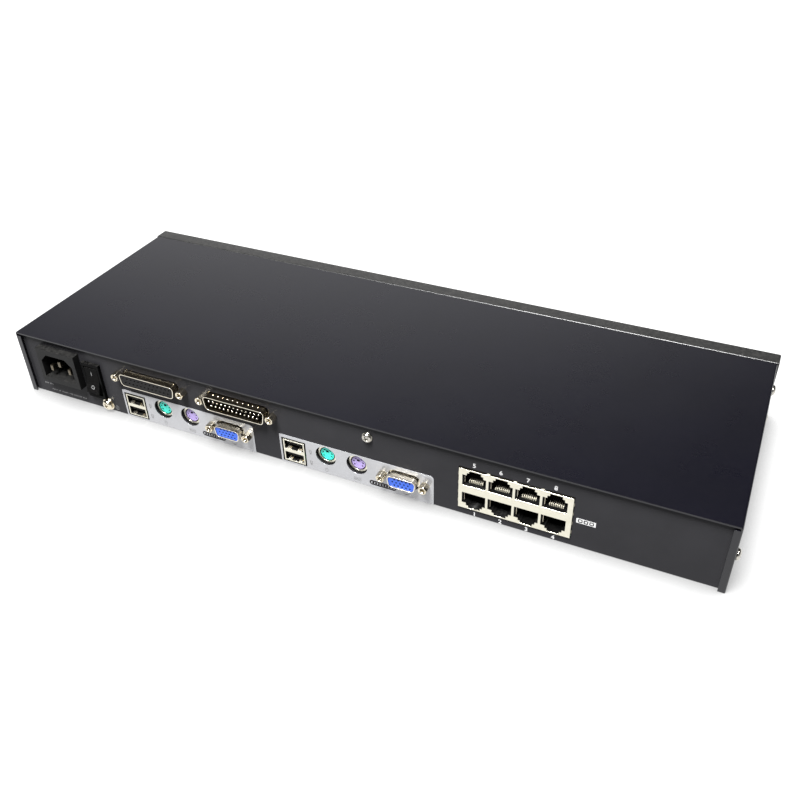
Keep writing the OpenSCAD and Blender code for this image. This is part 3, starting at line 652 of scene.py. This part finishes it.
def build_bezel():
    """Front panel: a moulded bar with softly rounded outer edges."""
    outer, inner = 0.9, 0.2
    bm = cad_copy("front_panel")

    def on_outside(a, b):
        def shell(p):
            return (near(abs(p.x), BEZEL_HIGH.x), near(p.y, FRONT_Y),
                    near(p.z, BEZEL_HIGH.z) or near(p.z, BEZEL_LOW.z))
        both = [sa and sb for sa, sb in zip(shell(a), shell(b))]
        return sum(both) >= 2

    round_edges(bm, outer, 4, on_outside)
    round_edges(bm, inner, 2, both_at("y", FRONT_Y), clamp=False)
    add_piece("front_bezel", bm, FRONT_PLASTIC, ["front_panel"], flat_faces=True)


# ---------------------------------------------------------------- screws


def cross_cutter(face_y, reach=1.75, depth=1.3):
    """Two tapered wings that cut a cross-shaped recess into a head whose top is at face_y."""
    wings = []
    for turn in (0, math.pi / 2):
        sizes = ((reach * 1.15, 0.42, face_y + 0.4), (reach, 0.36, face_y),
                 (reach * 0.38, 0.22, face_y - depth))
        wing = lofted([[Vector((sx * half, y, sz * thin)) for sx, sz in ((-1, -1), (1, -1), (1, 1), (-1, 1))]
                       for half, thin, y in sizes])
        wings.append(moved(wing, Matrix.Rotation(turn, 4, "Y")))
    return wings


def screw(head_r, seat, top, dome=0.5, washer=None, shank_r=1.4, shank=4.0, twist=0.0):
    """A pan-head screw along +Y with its cross recess, threaded shank and perhaps a washer."""
    edge = top - (top - seat) * dome
    arc = [(head_r * math.cos(a), edge + (top - edge) * math.sin(a))
           for a in (math.radians(d) for d in (0, 12, 26, 42, 58, 72))]
    bm = turned([(head_r - 0.15, seat), (head_r, seat + 0.15), *arc, (head_r * 0.12, top)], 40)
    for wing in cross_cutter(top, min(1.75, head_r * 0.62)):
        bm = carved(bm, wing)
    moved(bm, Matrix.Rotation(twist, 4, "Y"))
    parts = [bm, thread(shank_r, -shank, seat + 0.05)]
    if washer:
        rim = [(washer - 0.12, 0), (washer, 0.12), (washer, seat - 0.16), (washer - 0.14, seat)]
        parts.append(turned(rim, 40))
    return gathered([outward(part) for part in parts])


def thread(radius, low, high, pitch=0.7, depth=0.12, steps=20):
    """A threaded stretch along Y: the ridge climbs by one pitch each turn."""
    count = max(4, int((high - low) / pitch * 6))

    def ridge(y, i):
        return radius - depth * abs(2 * ((y / pitch - i / steps) % 1.0) - 1)

    levels = [low + (high - low) * k / count for k in range(count + 1)]
    return lofted([[round_y(ridge(y, i), math.tau * i / steps, y) for i in range(steps)] for y in levels])


def build_screws():
    """Cover screws, three on each side and one at the rear under a washer, and the front's screws."""
    head_r = 3.1
    head_top = span("cover_screws")[1].x - CASE_END
    side_spots = [(COVER_HIGH.y - 6, 22), (FRONT_Y + 21, 32), (FRONT_Y + 21, 12)]
    turns = (0.3, 1.1, 0.7, 0.2, 0.9, 0.5)
    parts = []
    for side in (1, -1):
        for (y, z), twist in zip(side_spots, turns[:3] if side > 0 else turns[3:]):
            aim = Matrix.Translation((side * CASE_END, y, z)) @ Matrix.Rotation(-side * math.pi / 2, 4, "Z")
            parts.append(moved(screw(head_r, 0, head_top, 0.6, twist=twist), aim))
    rear_x, rear_z = CASE_END - 244, COVER_HIGH.z - 8.6
    parts.append(moved(screw(2.75, 0.55, head_top, 0.6, washer=3.1, twist=0.45),
                       Matrix.Translation((rear_x, PANEL_Y, rear_z))))
    add_piece("case_screws", gathered(parts), ZINC, ["cover_screws"])
    low, high = span("front_screws")
    holders = [screw(head_r, 0, head_top, 0.6) for _ in range(4)]
    inset = head_r
    spots = [(sx * (high.x - inset), sz) for sx in (1, -1) for sz in (low.z + inset, high.z - inset)]
    fixed = [moved(bm, Matrix.Translation((x, high.y - head_top, z))) for bm, (x, z) in zip(holders, spots)]
    add_piece("bezel_screws", gathered(fixed), ZINC, ["front_screws"])


# ---------------------------------------------------------------- power entry


def build_inlet():
    soften("inlet_body", BLACK_PLASTIC, 0.35, 3)
    blades = cad_copy("inlet_blades")
    tips = span("inlet_blades")[1].y
    round_edges(blades, 0.7, 4, both_at("y", tips))
    # Painted shade: the blades take the darkened metal, dark as they sit in shade inside the inlet.
    add_piece("inlet_contacts", blades, SHADED_METAL, ["inlet_blades"])


def build_power_switch():
    """Switch frame, rocker and the two marks printed on the rocker."""
    soften("switch_housing", GLOSS_BLACK, 0.4, 3)
    rocker = cad_copy("switch_rocker")
    round_edges(rocker, 0.35, 3)
    add_piece("rocker_cap", rocker, GLOSS_BLACK, ["switch_rocker"], "switch_rocker")
    seat = middle("switch_housing")
    pivot, rest_lean = Vector((seat.x, PANEL_Y - 2, 21.6)), 9
    lean = Matrix.Translation(pivot) @ Matrix.Rotation(math.radians(rest_lean), 4, "X")
    rise, run = 5.6 - 4.3, 19.2 / 2 - 1.0
    slope = math.atan2(rise, run)
    face = 4.95 + 0.06
    bar = bmesh.new()
    mark_fill(bar, 0.55, 2.6, 0.1)
    ring = bmesh.new()
    mark_ring(ring, 2.6, 2.6, 1.3, 0.5)
    placed = []
    for bm, z, tip in ((bar, 4.6, -slope), (ring, -4.6, slope)):
        sit = Matrix.Translation((0, face, z)) @ Matrix.Rotation(tip, 4, "X") @ ON_REAR
        placed.append(moved(bm, lean @ sit))
    add_piece("rocker_marks", gathered(placed), FADED_INK, body="switch_rocker")


def build_earth_screw():
    spot = middle("ground_screw")
    head_r, seat, top = 3.3, 0.8, 3.4
    bm = screw(head_r, seat, top, 0.55, washer=4.2, shank_r=1.8, shank=8.0, twist=0.35)
    moved(bm, Matrix.Translation((spot.x, PANEL_Y, spot.z)))
    add_piece("earth_screw", bm, BRASS_NICKEL, ["ground_screw"])


def earth_mark():
    """The general sign for protective earth: a stem over three shortening bars, in a ring."""
    bm = bmesh.new()
    mark_ring(bm, 3.0, 3.0, 1.5, 0.22)
    mark_fill(bm, 0.2, 0.9, 0.02, (0, 0.55))
    for width, y in ((1.5, 0.1), (1.0, -0.35), (0.5, -0.8)):
        mark_fill(bm, width, 0.2, 0.02, (0, y))
    return bm


def rating_dashes(groups):
    """A row of small plain dashes, so many to each group, in place of the printed rating."""
    bm = bmesh.new()
    x = 0.0
    for group in groups:
        for _ in range(group):
            mark_fill(bm, 0.6, 0.9, 0.1, (x, 0))
            x += 1.05
        x += 0.8
    return bm


# ---------------------------------------------------------------- chain and video connectors


def hexagon_radius(flats, angle):
    """Distance from the middle of a hexagon to its side at that angle."""
    return flats / 2 / math.cos((angle % (math.pi / 3)) - math.pi / 6)


def jackscrew(seat, reach, flats=4.8, bore=1.42, steps=48):
    """A hexagonal jackscrew along +Y: chamfered ends and a threaded bore."""
    angles = [math.tau * i / steps for i in range(steps)]

    def ring(limit, y):
        return [round_y(min(hexagon_radius(flats, a), limit), a, y) for a in angles]

    def circle(radius, y):
        return [round_y(radius, a, y) for a in angles]

    corner = flats / 2 / math.cos(math.pi / 6)
    loops = [circle(1.35, -5), circle(1.35, seat), ring(flats / 2, seat), ring(corner, seat + 0.35),
             ring(corner, reach - 0.4), ring(flats / 2 * 0.97, reach), circle(bore + 0.38, reach),
             circle(bore + 0.05, reach - 0.4)]
    pitch, depth, turns = 0.62, 0.16, 5
    for k in range(turns * 6):
        y = reach - 0.4 - k * pitch / 6
        ring_r = [bore - depth * abs(2 * ((y / pitch - a / math.tau) % 1.0) - 1) for a in angles]
        loops.append([round_y(r, a, y) for r, a in zip(ring_r, angles)])
    return outward(lofted(loops))


def build_jackscrews():
    reach = span("jackscrews")[1].y - PANEL_Y
    plate = span("console_plate_a")[1].y - PANEL_Y
    spots = []
    for name, spacing, seat in (("chain_socket_shell", 47.04, 0.0), ("chain_plug_shell", 47.04, 0.0),
                                ("video_shell_a", 24.99, plate), ("video_shell_b", 24.99, plate)):
        centre = middle(name)
        spots += [(centre.x + side * spacing / 2, centre.z, seat) for side in (-1, 1)]
    parts = []
    for i, (x, z, seat) in enumerate(spots):
        aim = Matrix.Translation((x, PANEL_Y, z)) @ Matrix.Rotation(0.21 * i, 4, "Y")
        parts.append(moved(jackscrew(seat, reach), aim))
    add_piece("jack_screws", gathered(parts), BRASS_NICKEL, ["jackscrews"])


def build_shell(name, metal, bumps=0, bead=0.0):
    """Drawn metal shell: its rim rounded, with bumps on a plug's top or a bead along a socket's top."""
    plug_top, socket_top, bump_pitch, bump_y = 9.2 / 2, 8.2 / 2, 3.35, 1.15
    parts = [round_edges(cad_copy(name), 0.17, 3)]
    centre = middle(name)
    for i in range(bumps):
        dome = turned([(0.72, -0.3), (0.70, 0.0), (0.58, 0.14), (0.34, 0.24), (0.1, 0.27)], 16)
        x = centre.x + (i - (bumps - 1) / 2) * bump_pitch
        spot = Matrix.Translation((x, PANEL_Y + bump_y, centre.z + plug_top))
        parts.append(moved(dome, spot @ Matrix.Rotation(math.pi / 2, 4, "X")))
    if bead:
        half = bead / 2
        roll = turned([(0.04, -half), (0.4, -half + 0.3), (0.4, half - 0.3), (0.04, half)], 12)
        spot = Matrix.Translation((centre.x, PANEL_Y + 0.5, centre.z + socket_top))
        moved(roll, spot @ Matrix.Rotation(math.pi / 2, 4, "Z"))
        # Painted highlight: the bead is made in the bright pin metal rather than the shell's own metal.
        add_piece(name + ".bead", outward(roll), PIN_METAL)
    bm = gathered([outward(part) for part in parts])
    # Painted highlight: the faces at the shell's front rim take the bright nickel, the rest of the shell the
    # metal given.
    rim = span(name)[1].y - 0.2
    for face in bm.faces:
        face.material_index = int(face.calc_center_median().y > rim)
    add_piece(name + ".drawn", bm, [metal, NICKEL], [name])


def build_pins():
    """The chain plug's pins, with round tips, thirteen over twelve."""
    low, high = span("chain_plug_pins")
    centre = middle("chain_plug_shell")
    tip = high.y - PANEL_Y
    radius = 0.5
    outline = [(radius, low.y - PANEL_Y), (radius, tip - 0.45), (0.45, tip - 0.22), (0.3, tip - 0.06),
               (0.1, tip)]
    parts = []
    for row, count in enumerate((13, 12)):
        for i in range(count):
            place = Vector((centre.x + (i - (count - 1) / 2) * PIN_PITCH, PANEL_Y,
                            centre.z + (0.5 - row) * PIN_ROWS))
            parts.append(moved(turned(outline, 14), Matrix.Translation(place)))
    add_piece("plug_pins", outward(gathered(parts)), PIN_METAL, ["chain_plug_pins"])


def build_connectors():
    build_shell("chain_socket_shell", SHADED_NICKEL, bead=36.0)
    build_shell("chain_plug_shell", SHADED_NICKEL, bumps=10)
    soften("chain_socket_insert", BLACK_PLASTIC, 0.1, 1)
    soften("chain_plug_insert", BLACK_PLASTIC, 0.08, 1)
    soften("chain_socket_contacts", GOLD, 0.08, 1)
    build_pins()
    for group in CONSOLES:
        build_shell("video_shell_" + group, NICKEL)
        insert = "video_insert_" + group
        # Painted shade: every face of the blue insert behind its front face, the walls of the pin holes too,
        # is black, so the holes look dark.
        face = span(insert)[1].y - 0.12
        two_tone(insert, SOCKET_BLUE, SOCKET_BLACK, lambda spot, out: spot.y < face, 0.1, 1)
    build_jackscrews()


# ---------------------------------------------------------------- console groups


def build_plate(group):
    """A console's silver plate, with one top corner rounded."""
    name = "console_plate_" + group
    low, high = span(name)
    bm = cad_copy(name)
    at_side, at_top = both_at("x", low.x), both_at("z", high.z)
    round_edges(bm, 2.2, 6, lambda a, b: at_side(a, b) and at_top(a, b))
    round_edges(bm, 0.07, 1)
    add_piece(name + ".cut", bm, PLATE_SILVER, [name], flat_faces=True)
    return low, high


def mouse_icon(bm, x, y):
    mark_ring(bm, 1.9, 2.6, 0.9, 0.2, (x, y))
    mark_fill(bm, 0.18, 1.0, 0.05, (x, y + 0.7))


def keyboard_icon(bm, x, y):
    mark_ring(bm, 4.4, 2.2, 0.3, 0.2, (x, y))
    for row in range(2):
        for key in range(5):
            mark_fill(bm, 0.42, 0.36, 0.08, (x + (key - 2) * 0.72, y + 0.28 - row * 0.6))


def screen_icon(bm, x, y):
    mark_ring(bm, 3.4, 2.4, 0.3, 0.22, (x, y + 0.3))
    mark_fill(bm, 1.6, 0.3, 0.1, (x, y - 1.25))


def plug_icon(bm, x, y):
    mark_ring(bm, 1.7, 1.9, 0.2, 0.2, (x, y))
    for side in (-0.35, 0.35):
        mark_fill(bm, 0.3, 0.5, 0.05, (x + side, y + 0.3))
    mark_fill(bm, 0.9, 0.9, 0.1, (x, y - 1.5))


def legend_pill(bm, x, y):
    """An outlined pill holding a row of plain dots."""
    mark_ring(bm, 16.2, 3.3, 1.6, 0.8, (x, y))
    for i in range(8):
        mark_fill(bm, 1.2, 1.45, 0.3, (x + (i - 3.5) * 1.68, y))


def build_plate_marks(group, low, high):
    """Printed icons: drawn from the plate's edge at the case's end, left to right seen from behind."""
    def at(from_edge):
        return from_edge - (high.x - low.x) / 2

    icons = bmesh.new()
    base = low.z
    plug_icon(icons, at(19.8), 13.2 - base)
    plug_icon(icons, at(19.8), 5.6 - base)
    mouse_icon(icons, at(29.6), 3.1 - base)
    keyboard_icon(icons, at(49.1), 3.1 - base)
    screen_icon(icons, at(79.0), 3.0 - base)
    front = high.y - PANEL_Y
    centre = (low.x + high.x) / 2
    add_piece("plate_icons_" + group, moved(icons, on_rear(centre, base, front)), GREY_INK)
    pill = bmesh.new()
    legend_pill(pill, at(64.8), 3.7 - base)
    add_piece("plate_legend_" + group, moved(pill, on_rear(centre, base, front)), BLACK_INK)


def build_usb(group):
    """A stacked pair of receptacles: shell, dark core, spring fingers and tongue contacts."""
    shell, core = "usb_shell_" + group, "usb_core_" + group
    soften(shell, SHIELD_NICKEL, 0.1, 2)
    soften(core, SOCKET_BLACK, 0.08, 1)
    centre = middle(shell)
    centre.y = span(shell)[1].y
    slot_gap, slot_h = 8.0, 5.7
    tongue_rise, tongue_half, sunk = 0.9, 0.95, 0.02
    fingers, contacts = [], []
    for level in (-0.5, 0.5):
        floor_z = centre.z + level * slot_gap
        for x in (-3.4, 3.4):
            for side in (1, -1):
                edge = side * slot_h / 2
                leaf = strip([(-0.3, edge), (-0.5, edge - side * 0.12), (-2.2, edge - side * 0.75),
                              (-3.0, edge - side * 0.85), (-3.8, edge - side * 0.5)], 2.4, 0.18)
                fingers.append(moved(outward(leaf), Matrix.Translation((centre.x + x, centre.y, floor_z))))
        for k in range(4):
            contact = strip([(-1.6, 0.0), (-1.9, -0.16), (-9.0, -0.16)], 1.0, 0.12)
            place = Matrix.Translation((centre.x + (k - 1.5) * 2.3, centre.y,
                                        floor_z + tongue_rise - tongue_half - sunk))
            contacts.append(moved(outward(contact), place))
    add_piece("usb_fingers_" + group, gathered(fingers), NICKEL)
    add_piece("usb_contacts_" + group, gathered(contacts), GOLD)


def collar(x, z, inner, outer, back, front):
    """A flat black ring behind the panel that closes the gap round a socket's metal ring."""
    angles = [math.tau * i / 48 for i in range(48)]
    corners = ((inner, back), (outer, back), (outer, front), (inner, front))
    return outward(lofted([[Vector((x + r * math.cos(a), PANEL_Y + y, z + r * math.sin(a)))
                            for a in angles] for r, y in corners], closed=True))


def build_round_sockets():
    """Mouse and keyboard sockets of both consoles: a coloured core in a metal ring.

    Each core grows out of a black moulded body behind the panel.
    """
    body_front = PANEL_Y - 3.15

    def behind(spot, out):
        return spot.y < body_front

    names = []
    for group in CONSOLES:
        for kind, material, slot in (("mouse_socket_", SOCKET_GREEN, "socket_green"),
                                     ("keyboard_socket_", SOCKET_PURPLE, "socket_purple")):
            two_tone(kind + group, material, BLACK_PLASTIC, behind, 0.1, 1)
            names.append(kind + group)
    soften("din_shields", SHIELD_NICKEL, 0.12, 2)
    ring_low, ring_high = span("din_shields")
    ring_z, ring_r = (ring_low.z + ring_high.z) / 2, (ring_high.z - ring_low.z) / 2
    collars = [collar(middle(name).x, ring_z, ring_r + 0.05, ring_r + 1.2, -2.6, -1.15) for name in names]
    add_piece("din_collars", gathered(collars), SOCKET_BLACK)


def build_consoles():
    for group in CONSOLES:
        low, high = build_plate(group)
        build_plate_marks(group, low, high)
        build_usb(group)
    build_round_sockets()


# ---------------------------------------------------------------- computer ports


def port_places():
    """Middle of each port's inner edge, with 1 for the upper row and -1 for the mirrored lower row."""
    centre = middle("port_shield")
    for row in (1, -1):
        for i in range(4):
            yield centre.x + (i - 1.5) * PORT_PITCH, centre.z + row * PORT_ROW_GAP / 2, row


def build_port_block():
    front = span("port_shield")[1].y
    # Painted shade: the shield's faces that do not face the rear, its sides and the edges of its windows,
    # take the darkened metal.
    two_tone("port_shield", SHIELD_NICKEL, SHADED_METAL, lambda spot, out: abs(out.y) < 0.35,
             chosen=both_at("y", front))
    soften("port_housing", SOCKET_BLACK, 0.06, 1)
    wires = []
    path = [(-12.2, 2.6), (-9.5, 2.5), (-3.0, 2.35), (-2.0, 2.2), (-1.5, 1.75), (-1.05, 1.1),
            (-1.2, 0.55), (-1.7, 0.3), (-3.2, 0.22)]
    for x, z, row in port_places():
        for k in range(8):
            flip = Matrix.Scale(row, 4, (0, 0, 1))
            place = Matrix.Translation((x + (k - 3.5) * CONTACT_PITCH, PANEL_Y, z))
            wires.append(outward(moved(strip(path, 0.34, 0.3), place @ flip)))
    add_piece("port_wires", gathered(wires), DULL_TIN, ["port_contacts"])
    springs = []
    for x, z, row in port_places():
        low, high = sorted((z + row * 1.2, z + row * 6.4))
        springs.append(outward(block((x + 5.75, PANEL_Y - 6.0, low), (x + 6.0, PANEL_Y - 0.4, high))))
    add_piece("port_springs", gathered(springs), BRASS_NICKEL)


def build_port_fingers():
    """Grounding leaves round the port block that touch the edge of the panel's opening."""
    low, high = span("port_shield")
    centre = (low + high) / 2
    front = high.y
    leaf_path = [(-0.45, -0.25), (-0.4, 0.05), (-0.5, 0.3), (-0.75, 0.42), (-1.0, 0.35)]
    places = []
    for i in (-1, 0, 1):
        places.append((centre.x + i * PORT_PITCH, high.z, 0, 1.5))
        places.append((centre.x + i * PORT_PITCH, low.z, 180, 1.5))
    for k in range(4):
        z = centre.z + (k - 1.5) * 6.2
        places.append((low.x, z, -90, 1.9))
        places.append((high.x, z, 90, 1.9))
    parts = []
    for x, z, turn, width in places:
        aim = Matrix.Translation((x, front, z)) @ Matrix.Rotation(math.radians(turn), 4, "Y")
        parts.append(outward(moved(strip(leaf_path, width, 0.2), aim)))
    add_piece("port_fingers", gathered(parts), DULL_TIN)


def build_panel_prints():
    """White marks on the rear panel: port numbers, earth sign, rating dashes and the port label."""
    parts = []
    shield_low = span("port_shield")[0]
    upper, lower = (0.8, 35.3), (-0.2, 1.95)
    for index, (x, _, row) in enumerate(port_places()):
        column = 3 - index % 4
        digit = str(column + (5 if row > 0 else 1))
        shift, height = upper if row > 0 else lower
        parts.append(moved(lettering(digit, 2.6, 0.09), on_rear(x + shift, height)))
    faded = [
        moved(earth_mark(), on_rear(middle("ground_screw").x - 5.9, 3.2)),
        moved(rating_dashes((3, 3)), on_rear(CASE_END - 11.3, 7.4)),
        moved(rating_dashes((4, 2, 5, 3, 6, 3)), on_rear(CASE_END - 16.1, 3.4)),
    ]
    add_piece("faded_prints", gathered(faded), FADED_INK)
    label = bmesh.new()
    mark_fill(label, 10.0, 3.1, 0.3)
    label_spot = on_rear(shield_low.x - 7.05, 18.4)
    parts.append(moved(label, label_spot))
    add_piece("panel_prints", gathered(parts), WHITE_INK)
    signs = bmesh.new()
    for k in (-1, 0, 1):
        mark_ring(signs, 2.3, 2.2, 0.5, 0.5, (k * 2.9, 0), layer=1)
    add_piece("label_signs", moved(signs, label_spot), BLACK_INK)


# ---------------------------------------------------------------- front face


def build_buttons():
    for i in range(1, BUTTON_COUNT + 1):
        name = "port_button_" + str(i)
        bm = cad_copy(name)
        front = span(name)[0].y
        round_edges(bm, 0.55, 4, both_at("y", front))
        round_edges(bm, 0.15, 2)
        add_piece(name + ".cap", bm, BUTTON_GREY, [name], name, flat_faces=True)
    soften("reset_button", BUTTON_GREY, 0.25, 3, "reset_button")
    soften("indicator_lenses", LENS_GREEN, 0.2, 3)
    soften("display_window", WINDOW, 0.2, 3)
    soften("button_switches", CHIP_BLACK, 0.25, 2)


def segment(bm, x, y, length, along_x):
    """One bar of a number display, with pointed ends."""
    half, tip = length / 2, 0.45
    outline = [(-half, 0), (-half + tip, -tip), (half - tip, -tip), (half, 0), (half - tip, tip),
               (-half + tip, tip)]
    if not along_x:
        outline = [(b, a) for a, b in reversed(outline)]
    points = [(x + a, y + b) for a, b in outline]
    loft(bm, [flat(points, 0), flat(points, INK)])


def build_display():
    """Two-digit number display behind the smoked window."""
    soften("station_display", CHIP_BLACK, 0.25, 2)
    face = span("station_display")[0].y
    centre = middle("station_display")
    tall, wide = 3.6, 3.4
    side, upright_bar = wide / 2 + 0.3, tall - 0.6
    bars = {"a": (0, tall, wide, True), "d": (0, -tall, wide, True),
            "f": (-side, tall / 2, upright_bar, False), "b": (side, tall / 2, upright_bar, False),
            "e": (-side, -tall / 2, upright_bar, False), "c": (side, -tall / 2, upright_bar, False)}
    lit = bmesh.new()
    for offset, on in ((-3.6, "abcdef"), (3.6, "bc")):
        for key in on:
            x, y, length, along_x = bars[key]
            segment(lit, x + offset, y, length, along_x)
    place = Matrix.Translation((centre.x, face, centre.z)) @ ON_FRONT
    add_piece("display_digits", outward(moved(lit, place)), LIT_SEGMENT)


def power_mark():
    """A broken ring with a bar in its gap."""
    bm = bmesh.new()
    radius, line = 1.3, 0.3
    angles = [math.radians(a) for a in range(120, 421, 15)]
    loft(bm, [[Vector((r * math.cos(a), r * math.sin(a), z)) for r, z in
               ((radius, 0), (radius, INK), (radius - line, INK), (radius - line, 0))] for a in angles])
    mark_fill(bm, line, 1.4, 0.05, (0, 0.95))
    return bm


def build_front_prints():
    parts = []
    for i in range(1, BUTTON_COUNT + 1):
        name = "port_button_" + str(i)
        low, high = span(name)
        parts.append(moved(lettering(str(i), 2.4, 0.03), on_front((low.x + high.x) / 2, 8.6)))
    lens_high = span("indicator_lenses")[1]
    parts.append(moved(power_mark(), on_front(lens_high.x - 2.1, 9.4)))
    add_piece("front_prints", gathered(parts), WHITE_INK)


# ---------------------------------------------------------------- inside


def build_inside():
    """Boards and what stands on them, each in its own finish with its edges broken."""
    finishes = [
        ("main_board", BOARD_GREEN, 0.1, "board_green"),
        ("chain_board", BOARD_GREEN, 0.1, "board_green"),
        ("front_board", BOARD_GREEN, 0.1, "board_green"),
        ("psu_board", BOARD_TAN, 0.1, "board_tan"),
        ("transformer_core", FERRITE, 0.5, "ferrite"),
        ("transformer_coil", COIL_TAPE, 0.6, "coil_tape"),
        ("psu_capacitors", SLEEVE, 0.6, "capacitor_sleeve"),
        ("psu_heatsink", ALUMINIUM, 0.2, "heatsink_alu"),
        ("switch_chips", CHIP_BLACK, 0.2, "black_plastic"),
        ("standoffs", BRASS_NICKEL, 0.15, "brass_nickel"),
        ("board_screws", ZINC, 0.3, "zinc"),
    ]
    for name, material, width, slot in finishes:
        soften(name, material, width, 2)


# ---------------------------------------------------------------- floor, light and camera


def build_floor():
    made, tree, shader = blank_material("pale_floor")
    tint = use(tree, DRIFT, Color=grey(0.04), Second_Color=grey(0.038), Size=600.0)["Color"]
    tree.links.new(tint, shader.inputs["Base Color"])
    shader.inputs["Roughness"].default_value = 0.9
    shader.inputs["Specular IOR Level"].default_value = 0.1
    shader.inputs["Emission Color"].default_value = (1, 1, 1, 1)
    # Painted contact shadow: for camera rays the floor's glow is dimmed by ambient occlusion close to the
    # case.
    painted_shadow_ao = node(tree, "ShaderNodeAmbientOcclusion", {"Distance": 22 * MM}, samples=8).outputs["AO"]
    soft = node(tree, "ShaderNodeMapRange", {"Value": painted_shadow_ao, "From Min": 0.45, "From Max": 1.0,
                                             "To Min": 0.42, "To Max": 1.18}).outputs[0]
    seen = node(tree, "ShaderNodeLightPath").outputs["Is Camera Ray"]
    floor_glow_with_painted_shadow = node(tree, "ShaderNodeMix", {0: seen, 2: 1.18, 3: soft}).outputs[0]
    tree.links.new(floor_glow_with_painted_shadow, shader.inputs["Emission Strength"])
    bm = bmesh.new()
    bmesh.ops.create_grid(bm, x_segments=8, y_segments=8, size=6.0)
    mesh = bpy.data.meshes.new("floor")
    bm.to_mesh(mesh)
    bm.free()
    mesh.materials.append(made)
    floor = shown("floor", mesh)
    floor.location.z = cad_bounds[0].z - 0.02 * MM


def build_world():
    """A white room whose shine is brightest low down beyond the front and darker overhead."""
    world = bpy.data.worlds.new("studio")
    bpy.context.scene.world = world
    world.use_nodes = True
    tree = world.node_tree
    tree.nodes.clear()
    direction = node(tree, "ShaderNodeTexCoord").outputs["Generated"]
    slope, level, darkest, brightest = (3.2, -6.9, -0.55), -5.52, 0.02, 1.2
    tilt = node(tree, "ShaderNodeVectorMath", {0: direction, 1: slope}, operation="DOT_PRODUCT")
    graded = math_node(tree, "ADD", tilt.outputs["Value"], level)
    shine = math_node(tree, "MINIMUM", math_node(tree, "MAXIMUM", graded, darkest), brightest)
    path = node(tree, "ShaderNodeLightPath").outputs
    seen = node(tree, "ShaderNodeMix", {0: path["Is Glossy Ray"], 2: 0.2, 3: shine}).outputs[0]
    total = node(tree, "ShaderNodeMix", {0: path["Is Camera Ray"], 2: seen, 3: 1.0}).outputs[0]
    background = node(tree, "ShaderNodeBackground", {"Color": (1, 1, 1, 1), "Strength": total})
    out = tree.nodes.new("ShaderNodeOutputWorld")
    tree.links.new(background.outputs[0], out.inputs[0])


def add_light(name, spot, aim, size, watts, shiny=False):
    data = bpy.data.lights.new(name, "AREA")
    data.shape = "RECTANGLE"
    data.size, data.size_y = size
    data.energy = watts
    light = shown(name, data)
    light.location = spot
    light.rotation_euler = (Vector(aim) - Vector(spot)).to_track_quat("-Z", "Y").to_euler()
    light.visible_glossy = shiny


def build_lights():
    add_light("overhead", (0.1, 0.62, 1.45), (0, 0.05, 0.02), (0.6, 0.6), 150, shiny=True)
    add_light("side_fill", (1.2, 0.4, 0.8), (0, 0, 0.02), (0.8, 0.8), 8)
    add_light("front_fill", (0.3, -1.6, 0.9), (0, 0, 0.02), (1.4, 1.0), 20)


def build_camera():
    """A close camera behind the rear face, above it and towards its far end."""
    data = bpy.data.cameras.new("camera")
    data.sensor_width = 36.0
    data.lens = 39.71
    data.shift_x, data.shift_y = 0.0013, 0.0028
    data.clip_start = 0.01
    camera = shown("camera", data)
    camera.location = (-0.2011, 0.3999, 0.3302)
    camera.rotation_euler = [math.radians(a) for a in (53.532, 1.243, -155.353)]
    bpy.context.scene.camera = camera
    bpy.context.scene.view_settings.view_transform = "Standard"


build_cover()
build_base()
build_bezel()
build_screws()
build_inlet()
build_power_switch()
build_earth_screw()
build_connectors()
build_consoles()
build_port_block()
build_port_fingers()
build_panel_prints()
build_buttons()
build_display()
build_front_prints()
build_inside()
build_floor()
build_world()
build_lights()
build_camera()
